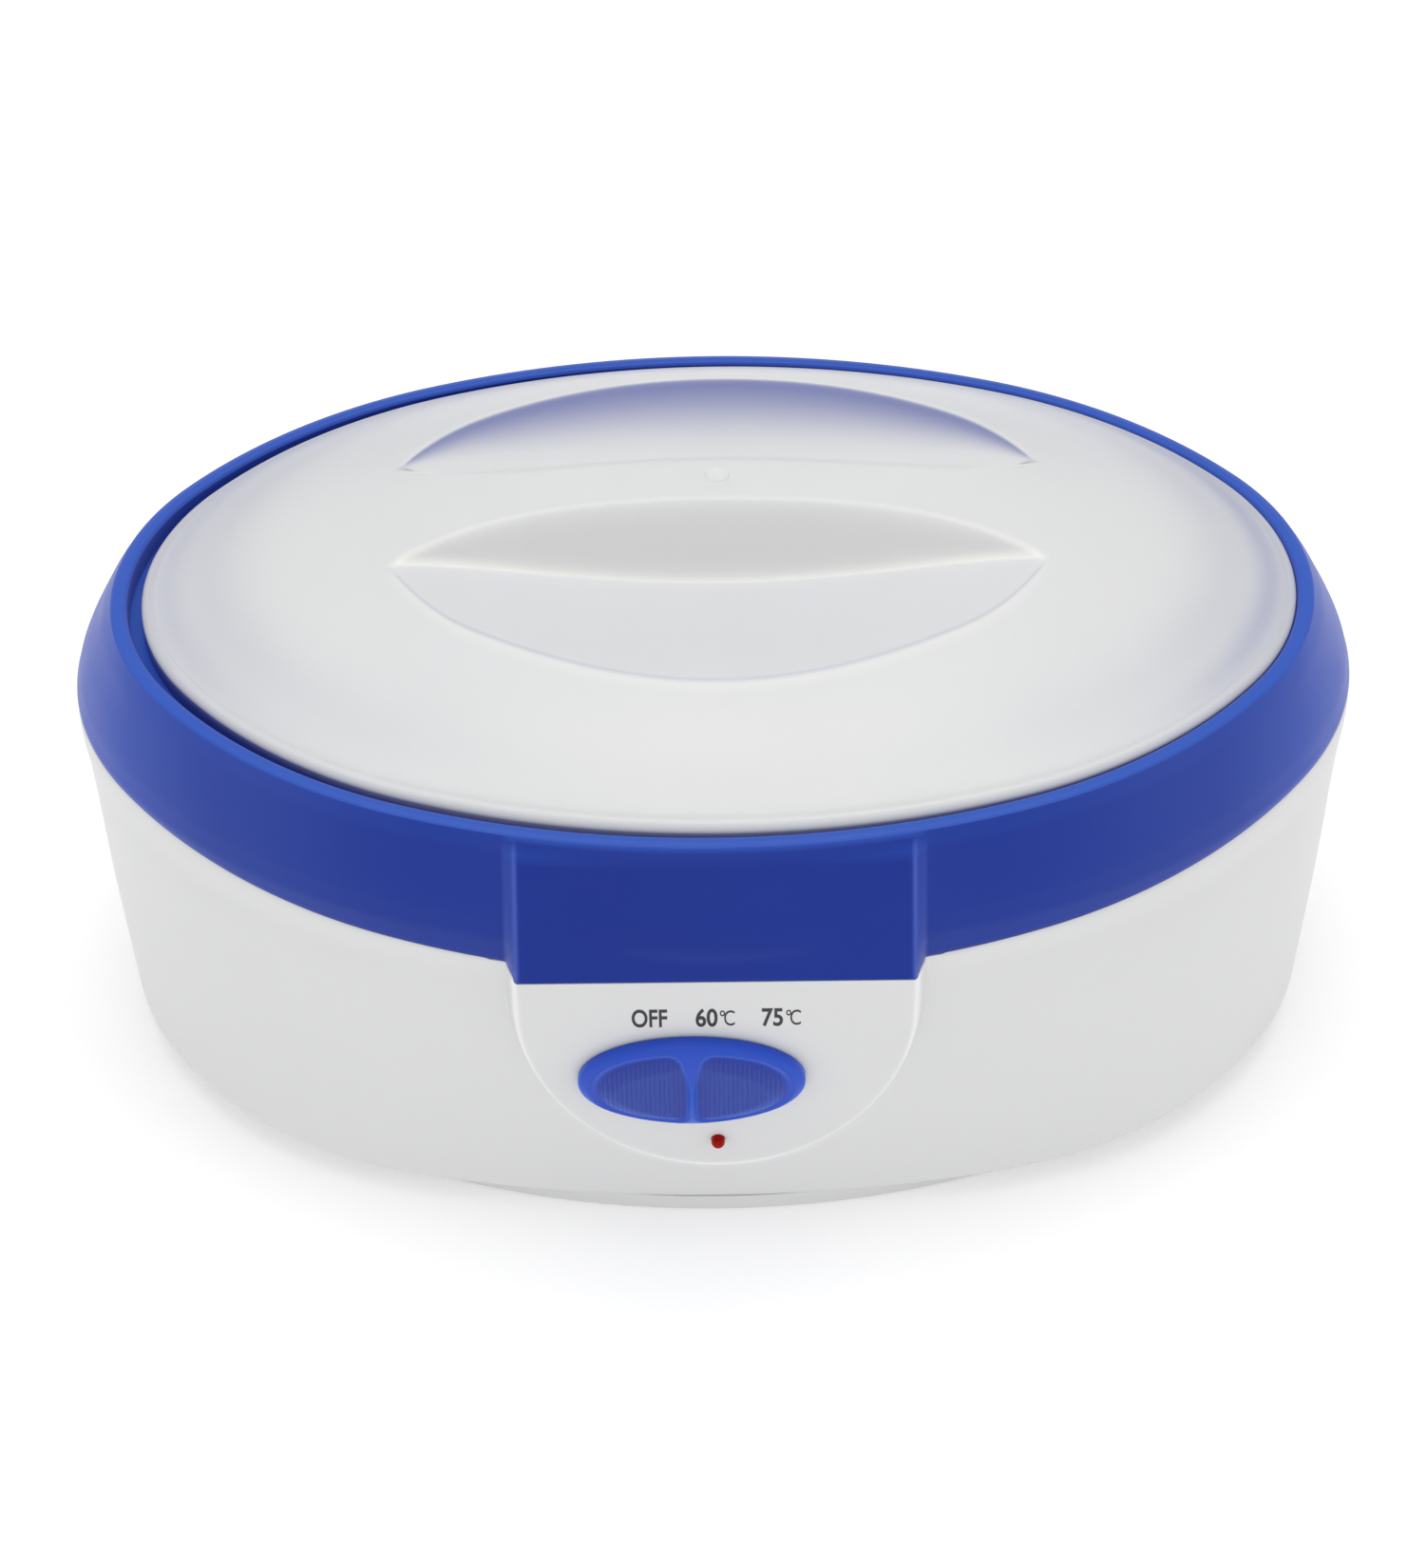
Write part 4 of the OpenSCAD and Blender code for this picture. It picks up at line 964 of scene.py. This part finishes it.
def build_lid():
    border = oval_arcs(LID_HALF_WIDTH - CENTRE_INSET, LID_HALF_DEPTH - CENTRE_INSET)
    quarter = oval(border, 0, np.linspace(0.0001, math.pi / 2, 2000))[::-1]

    def border_y(x):
        return float(np.interp(x, quarter[:, 0], quarter[:, 1]))

    x_end = (LID_HALF_WIDTH - CENTRE_INSET) * 0.982
    xs = mirrored(np.concatenate([
        np.linspace(0, 80, 54)[:-1], np.linspace(80, 96, 26)[:-1],
        96 + (x_end - 96) * np.sin(np.linspace(0, math.pi / 2, 30))]))
    grid_y = np.array([lid_row(x, border_y(abs(x)), border_y(SCOOP_X)) for x in xs])
    grid_x = np.repeat(xs[:, None], grid_y.shape[1], 1)
    top = np.stack([grid_x, grid_y, lid_z(grid_x, grid_y)], -1)
    nx, ny = grid_x.shape

    # directions of the rim that match the loop round the grid
    indices = grid_border(nx, ny)
    quarter_angles = np.linspace(0, math.pi / 2, 4001)
    quarter_x = oval(border, 0, quarter_angles)[:, 0]

    def angle_at(x):
        return float(np.interp(x, quarter_x[::-1], quarter_angles[::-1]))

    end_angle = angle_at(xs[-1])
    angles = []
    for i, j in indices:
        if 0 < j < ny - 1:
            angle = grid_y[-1, j] / grid_y[-1, -1] * end_angle
            angles.append(angle if i == nx - 1 else math.pi - angle)
        else:
            angle = angle_at(abs(xs[i]))
            angle = angle if xs[i] >= 0 else math.pi - angle
            angles.append(angle if j else -angle)
    angles = np.array(angles)
    arcs = oval_arcs(LID_HALF_WIDTH, LID_HALF_DEPTH)
    edge = oval(arcs, 0.0, angles)
    level = LID_EDGE - dome(edge[:, 0], edge[:, 1])     # brings the edge to one height

    def on_dome(inset, offset):
        plan = oval(arcs, inset, angles)
        z = lid_z(plan[:, 0], plan[:, 1]) + level * max(0, 1 - inset / CENTRE_INSET) + offset
        return np.concatenate([plan, z[:, None]], 1)

    def at_height(inset, z):
        return np.concatenate([oval(arcs, inset, angles), np.full((len(angles), 1), z)], 1)

    rim = [np.array([top[i, j] for i, j in indices])]
    rim += [on_dome(*row) for row in LID_BEAD]
    rim += [at_height(*row) for row in LID_SKIRT]
    rim += [on_dome(*row) for row in LID_UNDER]

    # the underside lies one wall below, along the normals of the outer face
    step = 1e-2
    slope_x = (lid_z(grid_x + step, grid_y) - lid_z(grid_x - step, grid_y)) / (2 * step)
    slope_y = (lid_z(grid_x, grid_y + step) - lid_z(grid_x, grid_y - step)) / (2 * step)
    normal = np.stack([-slope_x, -slope_y, np.ones_like(slope_x)], -1)
    normal /= np.linalg.norm(normal, axis=-1, keepdims=True)
    under = top - normal * LID_WALL
    under_loop = np.array([under[i, j] for i, j in indices])

    surface = Surface().grid(top).grid(np.array(rim), wrap_v=True).grid(under, flip=True)
    surface.grid(np.array([rim[-1], under_loop]), wrap_v=True)
    mesh = surface.mesh("lid_cover", weld=0.02, angle=60)
    paint_lid_light(mesh)
    mesh.transform(Matrix.Translation((LID_X * MM, 0, 0)))
    return mesh


def paint_lid_light(mesh):
    """Painted light and shade on the lid, worked out from the position on it: the ring's blue
    seen through it, painted shade and painted highlights.
    """
    x, y, z = positions(mesh).T
    abs_x, abs_y = np.abs(x), np.abs(y)
    radius = np.hypot(x / LID_HALF_WIDTH, y / LID_HALF_DEPTH)
    inner, outer = scoop_inner(x), scoop_outer(x)
    low = floor_z(np.minimum(abs_x, SCOOP_X))
    slope = (dome(x, outer) - low) / (outer - SCOOP_FLOOR_Y)
    # line where wall and floor of a scoop meet
    foot = ((dome(x, inner) + SCOOP_SLOPE * inner - low + SCOOP_FLOOR_Y * slope)
            / (slope + SCOOP_SLOPE))
    in_length = rise(SCOOP_X - abs_x, -2, 4)
    inside = (rise(abs_y, inner - 1, inner + 1) * fall(abs_y, outer - 1.2, outer + 0.6)
              * in_length)
    wall = rise(abs_y, inner - 0.6, inner + 0.8) * fall(abs_y, foot - 1.4, foot + 0.2) * in_length
    front, rear = y < 0, y > 0
    across = np.clip((abs_y - inner) / np.maximum(outer - inner, 1), 0, 1)
    tips = np.clip(abs_x / SCOOP_X, 0, 1)**3
    along = abs_x / LID_HALF_WIDTH
    front_fade = 1 - 0.8 * rise(-y, 20, 90)

    def line(at, width):
        """A soft line along a scoop."""
        return bell(abs_y, at, width) * in_length

    # painted blue of the ring seen through the lid: bands near the edge, stronger at the ends,
    # and most at +X
    blue = (0.085 * bell(radius, 0.885, 0.055) + 0.03 * rise(radius, 0.70, 0.95)) * front_fade
    blue += (np.where(x > 0, 0.28, 0.14) * bell(radius, 0.955, 0.028) * rise(along, 0.55, 0.9)
             * front_fade)
    # painted blue of the ring in the rear scoop, deepening outwards, and on the dome round it
    blue += rear * inside * 0.76 * rise(across, 0.42, 1.03)**1.2
    blue += rear * 0.05 * rise(y, 5, 60) * (1 - inside)
    # painted bluish shade: lines at the outer edges of both scoops, over the floor of the front
    # one, a line at the ridge edge of the rear one
    blue += 0.2 * line(outer + 0.1, 0.65) + front * 0.025 * inside * (1 - wall)
    blue += rear * 0.36 * line(inner + 0.4, 0.7)
    # painted shade: front wall, line below the ridge in the rear scoop, ends of the lid
    down = np.clip((abs_y - inner) / np.maximum(foot - inner, 1), 0, 1)
    dark = front * wall * (0.034 - 0.012 * down)
    dark += rear * (0.26 + 0.45 * tips) * line(inner + 1.5, 0.9)
    dark += 0.03 * bell(radius, 0.86, 0.07) * rise(along, 0.55, 0.85)
    # painted highlights: middle of the front edge, foot and edges of the scoops, front wall
    painted_highlight = 0.30 * bell(x, 0, 105) * bell(y, -98, 22)
    front_highlight_lines = ((0.75 + 0.6 * tips) * line(foot + 0.3, 1.0)
                   + (0.1 + 0.5 * tips) * line(inner - 1.0, 1.0))
    painted_highlight += np.where(front, front_highlight_lines, line(inner - 0.5, 0.9))
    painted_highlight += 0.35 * line(outer + 1.8, 0.7) + front * 0.16 * wall
    # the skirt below the bead stands in the mouth of the ring and carries a painted reflection of
    # its blue
    skirt = rise(LID_EDGE - z, 0.5, 1.6) * (radius > 0.9)
    blue = np.maximum(blue, 0.95 * skirt)
    attribute = mesh.attributes.new("painted_light", "FLOAT_COLOR", "POINT")
    colours = np.clip(np.stack([blue, dark, painted_highlight, np.ones_like(x)], -1), 0, 1)
    attribute.data.foreach_set("color", colours.ravel())


def build_gate():
    """Small round boss at the middle of the lid."""
    origin = (LID_X, 0, float(lid_z(0.0, 0.0)))
    foot = (4.4, -0.25)
    profile = [foot, (3.9, -0.02), (3.6, 0.1), (3.35, 0.55), (3.0, 0.78), (2.55, 0.62),
               (2.0, 0.42), (1.2, 0.40), (0.001, 0.42)]
    top = lathe(spline(profile, 3), 48, origin)
    under = lathe([foot, (4.0, -0.9), (0.001, -0.9)], 48, origin)
    surface = Surface().grid(top, wrap_u=True).grid(under, wrap_u=True)
    return surface.mesh("gate", weld=0.01, angle=60)


# ---------------------------------------------------------------- knob
KNOB_HALF_WIDTH, KNOB_HALF_HEIGHT = 31.25, 17.2
PAD_HALF_WIDTH, PAD_HALF_HEIGHT, PAD_POWER = 27.6, 15.1, 2.25
RIB_PITCH = 1.28
KNOB_BASE_Z, KNOB_BASE_SCALE = 0.3, 0.988


def pad_edge(x, y):
    """Signed distance, in about mm, from the edge of the nearer thumb pad; negative inside."""
    x = np.abs(x)
    power = PAD_POWER
    oval_gap = (((x / PAD_HALF_WIDTH)**power + (np.abs(y + 1.2) / PAD_HALF_HEIGHT)**power)
                ** (1 / power) - 1) * PAD_HALF_HEIGHT
    # web between the pads, widening up and down
    web = 0.55 + 0.013 * np.maximum(y + 1, 0)**2 + 0.04 * np.maximum(-y - 9, 0)**2 - x
    return soft_max(oval_gap, web, 3.4)


def rib_wave(x):
    return 0.5 + 0.5 * np.cos((np.abs(x) - 3.0) * 2 * math.pi / RIB_PITCH)


def knob_height(x, y):
    """Dome with two ribbed thumb pads cut into its face."""
    reach = np.clip((x / KNOB_HALF_WIDTH)**2 + (y / KNOB_HALF_HEIGHT)**2, 0, 1)
    shell = 2.0 + 4.3 * np.power(np.clip(1 - reach, 0, 1), 0.42)
    abs_x, gap = np.abs(x), pad_edge(x, y)
    in_pad = fall(gap, -1.0, 0.5)
    pad = np.minimum(4.5 + 0.05 * y - 0.0016 * (abs_x - 13)**2, shell - 1.0)
    ribs = 0.34 * rib_wave(x) * fall(gap, -2.2, -1.2) * rise(abs_x, 4.5, 5.0)
    return shell * (1 - in_pad) + (pad + ribs) * in_pad


def build_knob():
    nx, ny = 391, 72
    half = KNOB_HALF_WIDTH
    xs = np.interp(np.linspace(0, 1, nx), [0, 0.04, 0.96, 1],
                   [-half, -half * 0.972, half * 0.972, half])
    xs = np.sign(xs) * np.minimum(np.abs(xs), half - 0.02)
    across = np.sin(np.linspace(-math.pi / 2, math.pi / 2, ny))
    x = np.repeat(xs[:, None], ny, 1)
    y = KNOB_HALF_HEIGHT * np.sqrt(np.clip(1 - (x / half)**2, 0, 1)) * across[None, :]
    top = np.stack([x, y, knob_height(x, y)], -1)
    # side wall: (scale in plan, height) below the loop round the top
    side = [np.array([top[i, j] for i, j in grid_border(nx, ny)])]
    for scale, z in ((1, 1.2), (1, 0.5), (KNOB_BASE_SCALE, KNOB_BASE_Z)):
        row = side[0].copy()
        row[:, :2] *= scale
        row[:, 2] = z
        side.append(row)
    under = top.copy()
    under[..., :2] *= KNOB_BASE_SCALE
    under[..., 2] = KNOB_BASE_Z
    surface = Surface().grid(top).grid(np.array(side), wrap_v=True).grid(under, flip=True)
    mesh = surface.mesh("knob", weld=0.003, angle=48)
    x, y, z = positions(mesh).T
    gap = pad_edge(x, y)
    # dark pads with painted shade between the ribs, and a thin line of painted shade round them
    # at their step
    paint_tone(mesh, fall(gap, -1.4, -0.2) * (0.9 - 0.3 * rib_wave(x))
               + 0.25 * rise(gap, -0.2, 0.1) * fall(gap, 0.1, 0.8))
    move_to(mesh, panel_to_world(x + KNOB_X, y + KNOB_Y + 2.1, z))
    return mesh


# ---------------------------------------------------------------- pilot lens
def build_lens():
    """Domed lens through the panel, with a flange behind it."""
    radius = 1.88
    profile = [(0.001, 3.0)]
    profile += [(radius * math.sin(u), 1.15 + 1.85 * math.cos(u))
                for u in np.linspace(0.12, math.pi / 2, 12)]
    profile += [(radius, 0.2), (radius, -2.4), (2.6, -2.6), (3.7, -2.75), (3.75, -3.9),
                (0.001, -3.95)]
    origin = panel_to_world(0, LAMP_Y)
    axes = ((1, 0, 0), panel_to_world(0, LAMP_Y + 1) - origin,
            panel_to_world(0, LAMP_Y, 1) - origin)
    surface = Surface().grid(lathe(profile, 40, origin, axes), wrap_u=True)
    return surface.mesh("lens", weld=0.01, angle=40)


# ---------------------------------------------------------------- printed legends
LEGEND_Y = -17.8
CAPITAL = 0.73                      # height of a capital in the font at size 1


def temperature(number):
    return [(number, 7.4, -5.6, -0.2, 0.605, 0.020), ("°", 6.2, 0.95, 0, 0.6, 0.004),
            ("C", 6.6, 2.1, 0, 0.52, -0.002)]


# name, x on the panel, texts as (text, capital height, dx, dy, width factor, weight)
LEGENDS = [("legend_off", -17.8, [("OFF", 7.4, -5.1, -0.2, 0.55, 0.018)]),
           ("legend_60", 0.0, temperature("60")),
           ("legend_75", 17.9, temperature("75"))]


def build_legend(name, x, texts):
    """Plain block characters printed on the panel."""
    bm = bmesh.new()
    for text, size, dx, dy, wide, weight in texts:
        curve = bpy.data.curves.new("tmp", "FONT")
        curve.body = text
        curve.resolution_u = 6
        curve.extrude = 0.02
        curve.offset = weight
        mesh = take_mesh(add_object("tmp", curve), "tmp")
        letter = np.array([vertex.co for vertex in mesh.vertices])
        along = x + dx + (letter[:, 0] - letter[:, 0].min()) * size / CAPITAL * wide
        up = LEGEND_Y + dy + letter[:, 1] * size / CAPITAL
        out = 0.035 + letter[:, 2] * 1.6
        move_to(mesh, panel_to_world(along, up, out))
        bm.from_mesh(mesh)
    mesh = bpy.data.meshes.new(name)
    bmesh.ops.remove_doubles(bm, verts=bm.verts, dist=1e-7)
    bm.to_mesh(mesh)
    bm.free()
    shade_smooth(mesh, 30)
    return mesh


# ---------------------------------------------------------------- the pieces
place("upper_ring_skin", build_ring(), "ring_blue", "housing", ["upper_ring"])
place("outer_shell_skin", build_shell(), "shell_white", "housing", ["outer_shell"])
place("lid_cover", build_lid(), "lid_frosted", "lid", ["lid"])
place("lid_gate_mark", build_gate(), "lid_frosted", "lid")
place("slide_knob", build_knob(), "knob_blue", "slide_control", ["switch_knob"])
place("pilot_lens", build_lens(), "lamp_red", "housing", ["lamp_lens"])
for legend_name, legend_x, legend_texts in LEGENDS:
    place(legend_name, build_legend(legend_name, legend_x, legend_texts), "legend_ink",
          "housing")


# ---------------------------------------------------------------- studio, in metres
def floor_material():
    """Near-white floor that the camera can see through from below."""
    s = Shader("studio_floor")
    drift = s.noise(s.coords(), scale=3)
    s.surface(Base_Color=s.ramp(drift, (0.93, 0.93, 0.93), (0.95, 0.95, 0.95)), Roughness=0.9,
              Emission_Color=(1, 1, 1), Emission_Strength=0.2, Specular_IOR_Level=0.1)
    s.see_through(s.multiply(s.node("NewGeometry").outputs["Backfacing"],
                             s.node("LightPath").outputs["Is Camera Ray"]))


def area_light(name, location, target, size, power):
    light = bpy.data.lights.new(name, "AREA")
    light.shape = "RECTANGLE"
    light.size, light.size_y = size
    light.energy = power
    obj = add_object(name, light)
    obj.location = location
    aim = Vector(target) - Vector(location)
    obj.rotation_euler = aim.to_track_quat("-Z", "Y").to_euler()


floor_material()
bpy.ops.mesh.primitive_plane_add(size=14, location=(0, 0, -0.0001))
studio_floor = bpy.context.object
studio_floor.name = "studio_floor"
studio_floor.data.materials.append(MATERIALS["studio_floor"])

# name, location, target, size, power in watts
LIGHTS = [("key_top", (0.0, 0.25, 1.9), (0, 0, 0.1), (1.8, 1.4), 15),
          ("front_fill", (0.0, -2.3, 1.0), (0, 0, 0.08), (2.2, 1.4), 6.2),
          ("left_fill", (-2.0, -0.7, 0.9), (0, 0, 0.08), (1.2, 1.2), 3.6),
          ("right_fill", (2.0, -0.7, 0.9), (0, 0, 0.08), (1.2, 1.2), 3.6)]
for light_row in LIGHTS:
    area_light(*light_row)

scene = bpy.context.scene
world = bpy.data.worlds.new("studio")
scene.world = world
world.use_nodes = True
background = world.node_tree.nodes["Background"]
background.inputs["Color"].default_value = (1, 1, 1, 1)
background.inputs["Strength"].default_value = 0.58
scene.view_settings.view_transform = "Standard"
scene.view_settings.look = "None"

# ---------------------------------------------------------------- camera
ELEVATION, AZIMUTH = math.radians(38.0), math.radians(0.145)
ORBIT_CENTRE, CAMERA_DISTANCE = Vector((0, 0, 90)), 1200
# small turns, in degrees, about the camera's own axes in this order
TURN_UP, TURN_RIGHT, TURN_FORWARD = 0.028, -1.093, 0.762
FOCAL_LENGTH = 93.5233964


def add_camera():
    back = Vector((math.sin(AZIMUTH) * math.cos(ELEVATION),
                   -math.cos(AZIMUTH) * math.cos(ELEVATION), math.sin(ELEVATION)))
    position = ORBIT_CENTRE + back * CAMERA_DISTANCE
    forward = -back
    right = forward.cross(Vector((0, 0, 1))).normalized()
    axes = [right, right.cross(forward), forward]       # right, up, forward
    for k, degrees in ((1, TURN_UP), (0, TURN_RIGHT), (2, TURN_FORWARD)):
        turn = Matrix.Rotation(math.radians(degrees), 3, axes[k])
        axes = [turn @ axis for axis in axes]
    data = bpy.data.cameras.new("camera")
    data.lens = FOCAL_LENGTH
    data.clip_start = 0.01
    data.clip_end = 50
    camera = add_object("camera", data)
    pose = Matrix((axes[0], axes[1], -axes[2])).transposed().to_4x4()
    pose.translation = position * MM
    camera.matrix_world = pose
    scene.camera = camera


add_camera()
